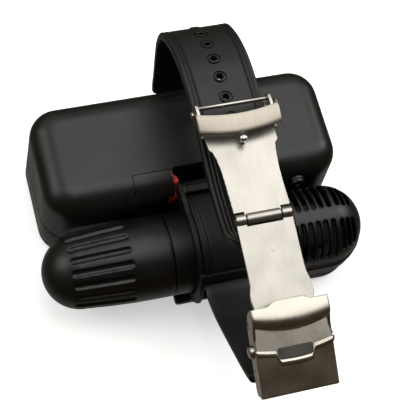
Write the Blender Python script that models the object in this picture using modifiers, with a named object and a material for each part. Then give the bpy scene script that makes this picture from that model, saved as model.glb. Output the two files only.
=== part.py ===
"""Wrist dive computer lying face down: housing, battery tube, sensor cage, strap and open folding clasp.

Metres, +Z up. X runs along the battery tube, -Y points to the strap's clasp. Every outline below is measured
from the middle of the housing's front face, and FRAME carries it into the part's own frame.
"""

from math import asin, cos, hypot, pi, radians, sin

import bmesh
import bpy
from mathutils import Matrix, Vector

# ---- frame and clearances
FRAME = Vector((0.0, 0.0374, 0.0))
GAP = 0.0003
EPS = 0.00005

# ---- housing
CASE_WIDTH, CASE_DEPTH, CASE_HEIGHT = 0.1082, 0.0435, 0.0380
CASE_DRAFT = 0.0010
CASE_CORNER, BACK_ROUND, FRONT_ROUND = 0.0110, 0.0082, 0.0020
CASE_WALL = 0.0027
PARTING_Z = 0.0130
FLOOR = 0.0022
BOSS_X, BOSS_Y, BOSS_RADIUS = 0.0445, 0.0125, 0.0032
WINDOW_HALF = (0.0370, 0.0120)
BUTTON_X = 0.0455

# ---- strap plane
STRAP_X = 0.0065
STRAP_HALF = 0.0120
STRAP_THICK = 0.0032
NEAR_NOTCH = dict(x=(-0.0084, 0.0214), y=(-0.0400, -0.0117), z=(0.0240, 0.0600))
FAR_NOTCH = dict(x=(-0.0044, 0.0174), y=(0.0148, 0.0400), z=(0.0190, 0.0600))
FAR_PIN = (0.0180, 0.0285)
END_BAR = (-0.0150, 0.0290)

# ---- battery tube, cap and sensor cage share one axis along X
TUBE_Y, TUBE_Z, TUBE_RADIUS = -0.0358, 0.0189, 0.0147
TUBE_END = 0.0236
CAP_SEAM = -0.0140
CAP_TIP, CAP_TIP_RADIUS = -0.0584, 0.0133
NECK_END, NECK_RADIUS, BORE_RADIUS = -0.0330, 0.0118, 0.0094
CAGE_START, CAGE_TIP, CAGE_RADIUS, CAGE_WALL = 0.0242, 0.0584, 0.0144, 0.0018
CAGE_BOTTOM = 0.0090
SLOT_WIDTH, SLOT_PITCH, SLOT_FIRST, SLOT_COUNT = 0.0017, 0.00283, 0.0272, 7
END_SLOTS = (0.0476, 0.0500, 0.0522)

# ---- strap bracket over the tube
BRACKET_RIM = 0.0015
RIM_OUTER = 0.0193
FOOT_TOP = 0.0038

# ---- clasp: places are (y, z) of each pin, and tilts are about X
CLASP_HINGE = (-0.0515, 0.0774)
COVER_HINGE = (-0.0835, 0.0705)
BAIL_PIVOT = (-0.0145, 0.0802)
COVER_TILT = radians(28.8)
BLADE1_Z, BLADE1_START = 0.0779, -0.0112
STUD_Y = -0.0256
SHEET = 0.0010
KNUCKLE, PIN, PIN_CLEAR = 0.0018, 0.0009, 0.0012
COVER_HALF, COVER_DEPTH = 0.0126, 0.0060
COVER_ORIGIN = Vector((0.0057, 0.0038))  # hinge pin, measured down the cover and below its face
COVER_LENGTH = 0.0282
HOOD_END = 0.0080
SPRING_BAR_AT = 0.0248

# ---- strap B leaves the bracket's lower bar here
STRAP_B_PIVOT = (-0.0520, 0.0265)


# ------------------------------------------------------------------ materials and objects
def material(name, colour, roughness, metallic=0.0):
    mat = bpy.data.materials.new(name)
    mat.use_nodes = True
    shader = mat.node_tree.nodes["Principled BSDF"]
    shader.inputs["Base Color"].default_value = (*colour, 1.0)
    shader.inputs["Roughness"].default_value = roughness
    shader.inputs["Metallic"].default_value = metallic
    mat.diffuse_color = (*colour, 1.0)
    return mat


def add(name, bm, mat, pivot=(0.0, 0.0, 0.0), tilt=0.0):
    """Finish a mesh drawn about its own pivot and stand it in the part's frame."""
    bmesh.ops.recalc_face_normals(bm, faces=bm.faces)
    mesh = bpy.data.meshes.new(name)
    bm.to_mesh(mesh)
    bm.free()
    obj = bpy.data.objects.new(name, mesh)
    obj.location = Vector(pivot) + FRAME
    obj.rotation_euler.x = tilt
    if mat:
        mesh.materials.append(mat)
        parts.objects.link(obj)
    else:
        obj.hide_render = True
        obj.display_type = "WIRE"
        cutters.objects.link(obj)
    return obj


def boolean(obj, operation, tools):
    for tool in tools:
        mod = obj.modifiers.new(operation.title(), "BOOLEAN")
        mod.operation = operation
        mod.solver = "EXACT"
        mod.object = tool
    return obj


def cut(obj, *tools):
    return boolean(obj, "DIFFERENCE", tools)


def join(obj, *tools):
    return boolean(obj, "UNION", tools)


def keep_inside(obj, *tools):
    return boolean(obj, "INTERSECT", tools)


# ------------------------------------------------------------------ shapes
def box_mesh(x, y, z, corner=0.0, segments=3):
    """A block between three pairs of limits, its upright edges rounded."""
    bm = bmesh.new()
    bmesh.ops.create_cube(bm, size=1.0)
    for v in bm.verts:
        v.co = [low + (c + 0.5) * (high - low) for c, (low, high) in zip(v.co, (x, y, z))]
    if corner:
        upright = [e for e in bm.edges if abs(e.verts[0].co.z - e.verts[1].co.z) > EPS]
        bmesh.ops.bevel(bm, geom=upright, offset=corner, segments=segments, affect="EDGES", profile=0.5)
    return bm


def block(name, x, y, z, mat=None, corner=0.0, segments=3):
    return add(name, box_mesh(x, y, z, corner, segments), mat)


def turned_mesh(profile, steps=32):
    """Turn (along, radius) points about X; the profile ends on the axis, or closes on itself."""
    bm = bmesh.new()
    verts = [bm.verts.new((along, 0.0, radius)) for along, radius in profile]
    edges = [bm.edges.new(pair) for pair in zip(verts, verts[1:])]
    if profile[0][1] > EPS:
        edges.append(bm.edges.new((verts[-1], verts[0])))
    bmesh.ops.spin(bm, geom=verts + edges, cent=(0, 0, 0), axis=(1, 0, 0), angle=2 * pi, steps=steps,
                   use_merge=True, use_duplicate=False)
    bmesh.ops.remove_doubles(bm, verts=bm.verts, dist=EPS / 10)
    return bm


def rod_mesh(x0, x1, radius, steps=20):
    return turned_mesh([(x0, 0.0), (x0, radius), (x1, radius), (x1, 0.0)], steps)


def ring_mesh(x0, x1, inner, outer, steps=32):
    return turned_mesh([(x0, inner), (x0, outer), (x1, outer), (x1, inner)], steps)


def upright_mesh(profile, steps=28):
    """Turn a profile of (height, radius) points about Z."""
    bm = turned_mesh(profile, steps)
    bmesh.ops.rotate(bm, verts=bm.verts, cent=(0, 0, 0), matrix=Matrix.Rotation(-pi / 2, 3, "Y"))
    return bm


def prism_mesh(outline, x0, x1):
    """A flat outline of (y, z) points made into a plate between two X limits."""
    bm = bmesh.new()
    face = bm.faces.new([bm.verts.new((x0, y, z)) for y, z in outline])
    grown = bmesh.ops.extrude_face_region(bm, geom=[face])["geom"]
    moved = [v for v in grown if isinstance(v, bmesh.types.BMVert)]
    bmesh.ops.translate(bm, vec=(x1 - x0, 0, 0), verts=moved)
    return bm


def smooth_path(points, step=0.0022):
    """Points evenly spaced along a Catmull-Rom curve through the given ones."""
    ends = [points[0]] + list(points) + [points[-1]]
    fine = []
    for a, b, c, d in zip(ends, ends[1:], ends[2:], ends[3:]):
        a, b, c, d = Vector(a), Vector(b), Vector(c), Vector(d)
        for i in range(20):
            t = i / 20
            fine.append(0.5 * (2 * b + (c - a) * t + (2 * a - 5 * b + 4 * c - d) * t * t
                               + (3 * b - a - 3 * c + d) * t ** 3))
    fine.append(Vector(points[-1]))
    lengths = [0.0]
    for p, q in zip(fine, fine[1:]):
        lengths.append(lengths[-1] + (q - p).length)
    count = max(2, round(lengths[-1] / step))
    path, k = [], 0
    for i in range(count + 1):
        target = lengths[-1] * i / count
        while k < len(fine) - 2 and lengths[k + 1] < target:
            k += 1
        t = (target - lengths[k]) / max(lengths[k + 1] - lengths[k], 1e-9)
        path.append(fine[k].lerp(fine[k + 1], min(max(t, 0.0), 1.0)))
    return path


def normals_along(path):
    """The left-hand normal of each point of a (y, z) path."""
    result = []
    for i in range(len(path)):
        step = path[min(i + 1, len(path) - 1)] - path[max(i - 1, 0)]
        result.append(Vector((-step.y, step.x)).normalized())
    return result


def ribbon_mesh(path, half_width, thickness, middle=STRAP_X):
    """A band along a (y, z) path; half_width is a function of the distance run and the distance left."""
    bm = bmesh.new()
    run = [0.0]
    for p, q in zip(path, path[1:]):
        run.append(run[-1] + (q - p).length)
    rows = []
    for p, n, s in zip(path, normals_along(path), run):
        w = half_width(s, run[-1] - s)
        corners = [(side * w, lift * thickness / 2) for side, lift in ((-1, -1), (1, -1), (1, 1), (-1, 1))]
        rows.append([bm.verts.new((middle + x, p.x + n.x * h, p.y + n.y * h)) for x, h in corners])
    for a, b in zip(rows, rows[1:]):
        for i in range(4):
            bm.faces.new((a[i], a[(i + 1) % 4], b[(i + 1) % 4], b[i]))
    bm.faces.new(rows[0])
    bm.faces.new(rows[-1])
    return bm


def arc(centre, radius, start, end, steps):
    """Points on a circle in the (y, z) plane; angles are from +Z and positive towards +Y, in degrees."""
    angles = [radians(start + (end - start) * i / steps) for i in range(steps + 1)]
    return [(centre[0] + radius * sin(a), centre[1] + radius * cos(a)) for a in angles]


def quarter(along, radius, size, steps=7):
    """Profile points from the axis round the end of a dome whose centre is at along."""
    turns = [pi / 2 * i / steps for i in range(steps + 1)]
    return [(along - size * radius * cos(a), radius * sin(a)) for a in turns]


# ------------------------------------------------------------------ housing
def case_block(shrink=0.0):
    """The rounded, slightly drafted outer shape of the housing, or the same shape inside its wall."""
    half_x, half_y = CASE_WIDTH / 2 - shrink, CASE_DEPTH / 2 - shrink
    low = FLOOR if shrink else 0.0
    bm = box_mesh((-half_x, half_x), (-half_y, half_y), (low, CASE_HEIGHT - shrink))
    for v in bm.verts:
        if v.co.z > PARTING_Z:
            v.co.x -= CASE_DRAFT * (1 if v.co.x > 0 else -1)
            v.co.y -= CASE_DRAFT * (1 if v.co.y > 0 else -1)
    upright = [e for e in bm.edges if abs(e.verts[0].co.z - e.verts[1].co.z) > PARTING_Z]
    bmesh.ops.bevel(bm, geom=upright, offset=CASE_CORNER - shrink, segments=6, affect="EDGES", profile=0.5)
    top = [e for e in bm.edges if min(v.co.z for v in e.verts) > CASE_HEIGHT - shrink - EPS]
    bmesh.ops.bevel(bm, geom=top, offset=BACK_ROUND - shrink, segments=5, affect="EDGES", profile=0.5)
    if not shrink:
        bottom = [e for e in bm.edges if max(v.co.z for v in e.verts) < EPS]
        bmesh.ops.bevel(bm, geom=bottom, offset=FRONT_ROUND, segments=2, affect="EDGES", profile=0.5)
    return bm


def grown(limits, by):
    return [(low - by, high + by) for low, high in limits.values()]


def corner_places():
    return [(x, y) for x in (-BOSS_X, BOSS_X) for y in (-BOSS_Y, BOSS_Y)]


def upright_rod(name, x, y, z0, z1, radius, mat=None, steps=20):
    bm = upright_mesh([(z0, 0.0), (z0, radius), (z1, radius), (z1, 0.0)], steps)
    bmesh.ops.translate(bm, vec=(x, y, 0), verts=bm.verts)
    return add(name, bm, mat)


def seal_path(inset, z, height):
    """A rounded frame set in from the housing's outline."""
    half_x, half_y = CASE_WIDTH / 2 - inset, CASE_DEPTH / 2 - inset
    return box_mesh((-half_x, half_x), (-half_y, half_y), (z, z + height), CASE_CORNER - inset, 6)


def seal_ring(name, inset, width, z, height, mat=None):
    ring = add(name, seal_path(inset, z, height), mat)
    return cut(ring, add(name + "_inside", seal_path(inset + width, z - EPS * 4, height + EPS * 8), None))


def housing():
    cradle_bm = rod_mesh(-0.08, 0.08, TUBE_RADIUS + GAP + EPS, 48)
    cradle = add("cradle_cutter", cradle_bm, None, (0, TUBE_Y, TUBE_Z))
    groove = seal_ring("seal_groove", 0.0012 - GAP, 0.0009 + 2 * GAP, PARTING_Z - 0.0009, 0.0018)

    # one hollow for both shells, held clear of the two strap notches and the corner bosses
    hollow = add("hollow_cutter", case_block(CASE_WALL), None)
    near = grown(NEAR_NOTCH, 0.0024)
    near[0] = (near[0][0] - 0.0036, near[0][1])
    cut(hollow, block("near_guard", *near), block("far_guard", *grown(FAR_NOTCH, 0.0024)))
    for i, (x, y) in enumerate(corner_places()):
        cut(hollow, upright_rod(f"boss_guard_{i + 1}", x, y, -0.001, 0.05, BOSS_RADIUS))

    back = add("back_shell", case_block(), black_plastic)
    front = add("front_shell", case_block(), black_plastic)
    cut(back, block("back_limit", (-0.1, 0.1), (-0.1, 0.1), (-0.02, PARTING_Z + GAP / 2)))
    cut(front, block("front_limit", (-0.1, 0.1), (-0.1, 0.1), (PARTING_Z - GAP / 2, 0.09)))
    for shell in (back, front):
        cut(shell, hollow, cradle, groove)
    seal_ring("case_seal", 0.0012, 0.0009, PARTING_Z - 0.0006, 0.0012, rubber)

    # strap notches, the far pin's holes and the release catch's pocket
    for name, limits in (("near_notch", NEAR_NOTCH), ("far_notch", FAR_NOTCH)):
        cut(back, block(name, *limits.values(), corner=0.0015))
    pin_hole = rod_mesh(FAR_NOTCH["x"][0] - 0.0018, FAR_NOTCH["x"][1] + 0.0018, PIN + GAP)
    cut(back, add("far_pin_hole", pin_hole, None, (0, *FAR_PIN)))
    bar_hole = rod_mesh(NEAR_NOTCH["x"][0] - 0.0016, NEAR_NOTCH["x"][1] + 0.0016, PIN + GAP)
    cut(back, add("end_bar_hole", bar_hole, None, (0, *END_BAR)))
    cut(back, block("catch_pocket", (-0.0122, -0.0080), (-0.0205, -0.0170), (0.0262, 0.0319)),
        block("tab_pocket", (-0.0122, -0.0080), (-0.0176, -0.0123), (0.0262, 0.0350)))

    # window, control buttons and screws
    opening = [(-half, half) for half in WINDOW_HALF]
    cut(front, block("window_opening", *opening, (-0.001, 0.004), corner=0.002))
    for i, (x, y) in enumerate(corner_places()):
        hole = upright_rod(f"screw_hole_{i + 1}", x, y, -0.001, 0.0235, 0.0013)
        counterbore = upright_rod(f"counterbore_{i + 1}", x, y, -0.001, 0.0019, 0.0027)
        cut(front, hole, counterbore)
        cut(back, hole)
        screw = upright_mesh([(0.0004, 0.0), (0.0004, 0.0024), (0.0016, 0.0024), (0.0016, 0.0010),
                              (0.0225, 0.0010), (0.0225, 0.0)], 16)
        add(f"case_screw_{i + 1}", screw, steel, (x, y, 0))
    for side, x in (("left", -BUTTON_X), ("right", BUTTON_X)):
        cut(front, upright_rod(f"{side}_button_hole", x, 0, -0.001, 0.004, 0.0035))
        button = upright_mesh([(0.0006, 0.0), (0.0006, 0.0028), (0.0010, 0.0032), (0.0026, 0.0032),
                               (0.0026, 0.0042), (0.0036, 0.0042), (0.0036, 0.0)])
        add(f"control_button_{side}", button, grey_plastic, (x, 0, 0))


def electronics():
    lens_x, lens_y = WINDOW_HALF[0] + 0.0020, WINDOW_HALF[1] + 0.0020
    outer = [(-lens_x, lens_x), (-lens_y, lens_y)]
    inner = [(-WINDOW_HALF[0], WINDOW_HALF[0]), (-WINDOW_HALF[1], WINDOW_HALF[1])]
    gasket = block("window_gasket", *outer, (FLOOR + 0.0002, FLOOR + 0.0007), rubber, 0.003)
    cut(gasket, block("gasket_inside", *inner, (0.001, 0.005), None, 0.002))
    block("window", *outer, (0.0031, 0.0049), glass, 0.003)
    block("display_module", (-0.0365, 0.0365), (-0.0125, 0.0125), (0.0051, 0.0071), dark_glass, 0.0010)
    block("main_board", (-0.0400, 0.0400), (-0.0160, 0.0160), (0.0090, 0.0104), board_green, 0.0015)
    upright_rod("buzzer", -0.0300, 0.0040, 0.0107, 0.0147, 0.0060, black_plastic, 24)
    upright_rod("pressure_sensor", 0.0330, -0.0030, 0.0107, 0.0155, 0.0040, steel, 24)
    block("coin_cell_holder", (-0.0150, 0.0060), (-0.0060, 0.0080), (0.0107, 0.0139), grey_plastic, 0.002)


# ------------------------------------------------------------------ battery tube, cap and cage
def on_tube(name, bm, mat):
    return add(name, bm, mat, (0, TUBE_Y, TUBE_Z))


def battery_tube():
    profile = [(TUBE_END, 0.0), (TUBE_END, TUBE_RADIUS), (CAP_SEAM, TUBE_RADIUS), (CAP_SEAM, NECK_RADIUS),
               (NECK_END, NECK_RADIUS), (NECK_END, BORE_RADIUS), (TUBE_END - 0.0040, BORE_RADIUS),
               (TUBE_END - 0.0040, 0.0)]
    on_tube("battery_tube", turned_mesh(profile, 48), black_plastic)
    cell = turned_mesh([(-0.0470, 0.0), (-0.0470, 0.0087), (-0.0465, 0.0091), (0.0125, 0.0091),
                        (0.0130, 0.0087), (0.0130, 0.0034), (0.0140, 0.0034), (0.0140, 0.0)], 32)
    on_tube("battery_cell", cell, cell_sleeve)

    coil_data = bpy.data.curves.new("contact_spring", "CURVE")
    coil_data.dimensions = "3D"
    coil_data.bevel_depth = 0.00030
    coil_data.bevel_resolution = 2
    coil_data.use_fill_caps = True
    turns, points_per_turn = 3, 14
    spline = coil_data.splines.new("POLY")
    spline.points.add(turns * points_per_turn)
    for i, point in enumerate(spline.points):
        angle = 2 * pi * i / points_per_turn
        along = 0.0147 + 0.0042 * i / (turns * points_per_turn)
        point.co = (along, 0.0038 * cos(angle), 0.0038 * sin(angle), 1.0)
    coil = bpy.data.objects.new("contact_spring", coil_data)
    coil.location = Vector((0, TUBE_Y, TUBE_Z)) + FRAME
    coil_data.materials.append(brass)
    parts.objects.link(coil)


def battery_cap():
    seam, shoulder = CAP_SEAM - GAP, NECK_END - 0.0022
    dome = quarter(CAP_TIP + CAP_TIP_RADIUS, CAP_TIP_RADIUS, 1.0)
    profile = dome + [(-0.0280, 0.0146), (seam, TUBE_RADIUS), (seam, NECK_RADIUS + GAP),
                      (shoulder, NECK_RADIUS + GAP),
                      (shoulder, BORE_RADIUS + GAP), (-0.0500, BORE_RADIUS + GAP), (-0.0500, 0.0)]
    on_tube("battery_cap", turned_mesh(profile, 40), black_plastic)
    seal = ring_mesh(NECK_END - 0.0019, NECK_END - GAP, BORE_RADIUS + GAP, NECK_RADIUS, 32)
    on_tube("cap_seal", seal, rubber)
    on_tube("cap_contact", rod_mesh(-0.0497, -0.0482, 0.0060, 24), brass)


def slot_ring(x, start, end):
    """A cutter for one slot of the cage: a wedge between two angles about the tube's axis."""
    outline = [(0.0, 0.0)] + arc((0, 0), CAGE_RADIUS + 0.004, start, end, 8)
    slot = prism_mesh(outline, x - SLOT_WIDTH / 2, x + SLOT_WIDTH / 2)
    return add("slot_cutter", slot, None, (0, TUBE_Y, TUBE_Z))


def cage_solid(name, radius, start, drop, mat=None):
    """Half round over a straight skirt, drawn along X and closed by a quarter-turn dome."""
    section = arc((0.0, 0.0), radius, 90, -90, 24) + [(-radius, -drop), (radius, -drop)]
    tip, steps = CAGE_TIP - CAGE_RADIUS, 9
    rows = [[(start, y, z) for y, z in section]]
    for i in range(steps + 1):
        shrink = max(cos(pi / 2 * i / steps), 0.02)
        x = tip + radius * sin(pi / 2 * i / steps)
        rows.append([(x, y * shrink, z if z < 0 else z * shrink) for y, z in section])
    bm = bmesh.new()
    made = [[bm.verts.new(p) for p in row] for row in rows]
    for a, b in zip(made, made[1:]):
        for j in range(len(section)):
            k = (j + 1) % len(section)
            bm.faces.new((a[j], a[k], b[k], b[j]))
    bm.faces.new(made[0])
    bm.faces.new(made[-1])
    bmesh.ops.triangulate(bm, faces=bm.faces)
    return on_tube(name, bm, mat)


def sensor_end():
    tip, drop = CAGE_TIP - CAGE_RADIUS, TUBE_Z - CAGE_BOTTOM
    cage = cage_solid("sensor_cage", CAGE_RADIUS, CAGE_START, drop, black_plastic)
    cut(cage, cage_solid("cage_inside", CAGE_RADIUS - CAGE_WALL, CAGE_START - 0.002, drop + 0.002))
    cut(cage, block("cage_relief", (0.0, 0.1), (-0.0222, 0.0), (0.0, 0.0155)))
    for i in range(SLOT_COUNT):
        x = SLOT_FIRST + i * SLOT_PITCH
        cut(cage, slot_ring(x, -77, -15), slot_ring(x, 4, 66))
    for x in END_SLOTS:
        cut(cage, slot_ring(x, -68, -17), slot_ring(x, 5, 56))

    half = CAGE_RADIUS - 0.0010
    low, high = TUBE_Y - half, TUBE_Y + half
    tray_x, tray_z = (CAGE_START, CAGE_TIP - 0.0010), (0.0, CAGE_BOTTOM - GAP)
    tray = block("sensor_tray", tray_x, (low, high), tray_z, black_plastic,
                 0.0001)
    round_end = upright_rod("tray_round", tip, TUBE_Y, -0.001, 0.02, half, None, 48)
    keep = block("tray_keep", (CAGE_START - 0.001, tip), (low - 0.001, high + 0.001), (-0.001, 0.02))
    join(keep, round_end)
    keep_inside(tray, keep)
    on_tube("depth_sensor", rod_mesh(0.0262, 0.0450, 0.0082, 32), sensor_grey)
    upright_rod("sensor_post", 0.0356, TUBE_Y, CAGE_BOTTOM, TUBE_Z - 0.0088, 0.0040, black_plastic)
    gland = rod_mesh(0.0, 0.0022, 0.0026, 20)
    bmesh.ops.rotate(gland, verts=gland.verts, cent=(0, 0, 0), matrix=Matrix.Rotation(-pi / 2, 3, "Z"))
    add("cable_gland", gland, black_plastic, (0.0365, -0.0211, 0.0305))


# ------------------------------------------------------------------ strap bracket
def strap_bracket():
    centre = (TUBE_Y, TUBE_Z)
    outer = arc(centre, RIM_OUTER, 20, -100, 16)
    inner = arc(centre, TUBE_RADIUS + GAP + EPS, -100, 48, 18)
    outline = [(-0.0166, 0.0332), (-0.0170, 0.0354), (-0.0230, 0.0368)] + outer + inner + [(-0.0200, 0.0312)]
    left = STRAP_X - STRAP_HALF - GAP - BRACKET_RIM
    right = STRAP_X + STRAP_HALF + GAP
    bracket = add("strap_bracket", prism_mesh(outline, left, left + BRACKET_RIM), black_plastic)
    join(bracket, add("right_rim", prism_mesh(outline, right, right + BRACKET_RIM), None))
    bar_span = (left + EPS * 4, right + BRACKET_RIM - EPS * 4)
    join(bracket, block("upper_bar", bar_span, (-0.0209, -0.0181), (0.0335, 0.0353)))
    lower = arc(centre, RIM_OUTER + 0.0010, -50, -60, 2) + arc(centre, RIM_OUTER - 0.0006, -60, -50, 2)
    join(bracket, add("lower_bar", prism_mesh(lower, *bar_span), None))
    foot_span = (left - 0.0045, right + 0.0050)
    join(bracket, block("foot", foot_span, (-0.0490, -0.0260), (0.0, FOOT_TOP), None, 0.004))
    side = arc(centre, RIM_OUTER, -88, -100, 2) + [(-0.0485, 0.0030), (-0.0440, 0.0030)]
    side += arc(centre, TUBE_RADIUS + GAP + EPS, -125, -90, 4)
    for x in (left + EPS, right + EPS):
        join(bracket, add("rim_leg", prism_mesh(side, x, x + BRACKET_RIM - 2 * EPS), None))


# ------------------------------------------------------------------ straps
STRAP_A_LINE = [(0.0180, 0.0285), (0.0225, 0.0276), (0.0246, 0.0310), (0.0254, 0.0360), (0.0268, 0.0430),
                (0.0280, 0.0490), (0.0284, 0.0540), (0.0274, 0.0595), (0.0248, 0.0636), (0.0198, 0.0677),
                (0.0138, 0.0711), (0.0066, 0.0734), (0.0000, 0.0740), (-0.0070, 0.0740), (-0.0140, 0.0734),
                (-0.0209, 0.0717), (-0.0300, 0.0694), (-0.0370, 0.0684), (-0.0475, 0.0686),
                (-0.0560, 0.0704),
                (-0.0610, 0.0720)]
STRAP_B_LINE = [STRAP_B_PIVOT, (-0.0572, 0.0262), (-0.0656, 0.0299), (-0.0774, 0.0381), (-0.0905, 0.0479),
                (-0.0965, 0.0545), (-0.0988, 0.0582)]
HOLE_COUNT, HOLE_PITCH, LAST_HOLE_Y = 8, 0.0073, -0.0215


def strap_a_half(run, left):
    """Narrow in the housing's notch, full width outside it, with a rounded tail."""
    if run < 0.0052:
        return 0.0104
    tail = 0.0100
    if left < tail:
        return STRAP_HALF - tail + (tail * tail - (tail - left) ** 2) ** 0.5 + 0.0010
    return STRAP_HALF


def strap_a():
    pivot = (0, *FAR_PIN)
    line = [Vector(p) - Vector(FAR_PIN) for p in smooth_path(STRAP_A_LINE)]
    strap = add("strap_a", ribbon_mesh(line, strap_a_half, STRAP_THICK), rubber, pivot)
    lug_start, lug_end = STRAP_X - 0.0104, STRAP_X + 0.0104
    join(strap, add("strap_a_lug", rod_mesh(lug_start + EPS, lug_end - EPS, 0.0026, 20), None, pivot))
    cut(strap, add("strap_a_bore", rod_mesh(lug_start - 0.001, lug_end + 0.001, PIN_CLEAR, 16), None, pivot))
    path = smooth_path(STRAP_A_LINE, 0.0004)
    normals = normals_along(path)
    last = min(range(len(path)), key=lambda i: hypot(path[i].x - LAST_HOLE_Y, path[i].y - 0.0715))
    for i in range(HOLE_COUNT):
        k = last - round(i * HOLE_PITCH / 0.0004)
        hole = upright_mesh([(-0.004, 0.0), (-0.004, 0.0012), (0.004, 0.0012), (0.004, 0.0)], 12)
        tilt = -asin(max(-1.0, min(1.0, normals[k].x)))
        cut(strap, add(f"strap_hole_{i + 1}", hole, None, (STRAP_X, *path[k]), tilt))
    pin = rod_mesh(FAR_NOTCH["x"][0] - 0.0015, FAR_NOTCH["x"][1] + 0.0015, PIN, 16)
    add("far_spring_bar", pin, steel, pivot)


def strap_b_inner_half(run, left):
    """Narrow where it enters the housing's notch."""
    return 0.0104 if run < 0.001 else STRAP_HALF


def strap_b_half(run, left):
    """Narrow where it fits between the clasp cover's sides."""
    return 0.0100 if left < 0.0060 else STRAP_HALF


def strap_b():
    centre = Vector((TUBE_Y, TUBE_Z))
    middle = TUBE_RADIUS + GAP + EPS * 3 + STRAP_THICK / 2
    over = [END_BAR, (-0.0195, 0.0306), (-0.0268, 0.0339)]
    over += arc(centre, middle, 5, -60, 6)
    inner = smooth_path(over + [(STRAP_B_PIVOT[0] + 0.0011, STRAP_B_PIVOT[1] + 0.0019)])
    add("strap_b_inner", ribbon_mesh(inner, strap_b_inner_half, STRAP_THICK), rubber)
    line = [Vector(p) - Vector(STRAP_B_PIVOT) for p in smooth_path(STRAP_B_LINE)]
    add("strap_b", ribbon_mesh(line, strap_b_half, STRAP_THICK), rubber, (0, *STRAP_B_PIVOT))


def release_catch():
    """A slide in the notch's wall with a finger tab beside the bracket."""
    catch = block("release_catch", (-0.0104, -0.0077), (-0.0202, -0.0173), (0.0265, 0.0316), red_plastic)
    join(catch, block("catch_bridge", (-0.0103, -0.0086), (-0.0174, -0.0130), (0.0266, 0.0345)))
    join(catch, block("catch_tab", (-0.0102, -0.0063), (-0.0163, -0.0126), (0.0295, 0.0346)))


# ------------------------------------------------------------------ clasp
def blade_half_1(run, left):
    """Blade 1's half width, from its buckle end to its hinge."""
    return 0.0118 if run < 0.0150 else max(0.0092, 0.0118 - (run - 0.0150) * 0.45)


def clasp_blade_1():
    hinge = Vector(CLASP_HINGE)
    start, end = BLADE1_START, hinge.x + KNUCKLE * 0.6
    line = [Vector((start + (end - start) * i / 14, BLADE1_Z)) - hinge for i in range(15)]
    pivot = (0, *CLASP_HINGE)
    blade = add("clasp_blade_1", ribbon_mesh(line, blade_half_1, SHEET), steel, pivot)
    knuckle_x = (STRAP_X - 0.0056, STRAP_X + 0.0056)
    join(blade, add("blade_1_knuckle", ring_mesh(*knuckle_x, PIN_CLEAR, KNUCKLE, 20), None, pivot))
    cut(blade, add("blade_1_clear", rod_mesh(*knuckle_x, PIN_CLEAR, 20), None, pivot))
    for side in (-1, 1):
        # side ears carry the buckle bar and the rivets that the bail turns on
        x = STRAP_X + side * 0.0122
        outline = [(-0.0105, 0.0772), (-0.0220, 0.0772), (-0.0220, 0.0790), (-0.0165, 0.0818),
                   (-0.0112, 0.0818)]
        ear = prism_mesh(outline, x - 0.00045, x + 0.00045)
        join(blade, add("blade_ear", ear, None))
        bore = rod_mesh(x - 0.001, x + 0.001, 0.0008, 16)
        cut(blade, add("ear_bore", bore, None, (0, *BAIL_PIVOT)))
        # clearance for blade 2's outer knuckles
        near, far = sorted((STRAP_X + side * 0.0059, STRAP_X + side * 0.0120))
        cut(blade, block("knuckle_clear", (near, far), (hinge.x - 0.004, hinge.x + 0.0022), (0.070, 0.085)))
    window = (STRAP_X - 0.0109, STRAP_X + 0.0109)
    cut(blade, block("strap_window", window, (-0.0176, -0.0100), (0.0765, 0.0790)))
    post = upright_rod("strap_post", STRAP_X, LAST_HOLE_Y, 0.0700, BLADE1_Z, 0.0006, None, 12)
    join(blade, post)
    stud = upright_mesh([(0.0, 0.0), (0.0, 0.0008), (0.0022, 0.0008), (0.0024, 0.0013), (0.0032, 0.0013),
                         (0.0036, 0.0008), (0.0036, 0.0)], 20)
    add("latch_stud", stud, steel, (STRAP_X, STUD_Y, BLADE1_Z + SHEET / 2 + GAP))
    bar = rod_mesh(STRAP_X - 0.0115, STRAP_X + 0.0115, 0.0007, 12)
    add("buckle_bar", bar, steel, (0, -0.0125, 0.0802))
    add("clasp_pin", rod_mesh(STRAP_X - 0.0091, STRAP_X + 0.0091, PIN, 16), steel, pivot)


def safety_bail():
    """A bowed plate across the strap with two side arms on rivets."""
    pivot = Vector(BAIL_PIVOT)
    bm = bmesh.new()
    outer, arm, steps = 0.0137, 0.0008, 12
    band = [(-0.0016, 0.0035), (-0.0048, 0.0029), (-0.0076, 0.0020), (-0.0074, 0.0012), (-0.0046, 0.0021),
            (-0.0016, 0.0027)]
    rows = []
    for i in range(steps + 1):
        u = 2 * i / steps - 1
        bow = 0.0020 * (1 - u * u)
        rows.append([bm.verts.new((STRAP_X + u * outer, y - bow, z + bow * 0.3)) for y, z in band])
    for a, b in zip(rows, rows[1:]):
        for j in range(len(band)):
            k = (j + 1) % len(band)
            bm.faces.new((a[j], a[k], b[k], b[j]))
    bm.faces.new(rows[0])
    bm.faces.new(rows[-1])
    plate = add("safety_bail", bm, steel, (0, *pivot))
    for side in (-1, 1):
        x0, x1 = sorted((STRAP_X + side * outer, STRAP_X + side * (outer - arm)))
        outline = [(-0.0066, 0.0014), (-0.0048, 0.0029), (-0.0025, 0.0032), (0.0010, 0.0014), (0.0016, 0.0),
                   (0.0010, -0.0014), (-0.0030, -0.0012)]
        join(plate, add("bail_arm", prism_mesh(outline, x0, x1), None, (0, *pivot)))
        cut(plate, add("bail_bore", rod_mesh(x0 - 0.001, x1 + 0.001, 0.0009, 16), None, (0, *pivot)))
        r0, r1 = sorted((STRAP_X + side * 0.0120, STRAP_X + side * 0.0142))
        name = "bail_rivet_left" if side < 0 else "bail_rivet_right"
        add(name, rod_mesh(r0, r1, 0.0006, 12), steel, (0, *pivot))


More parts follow.
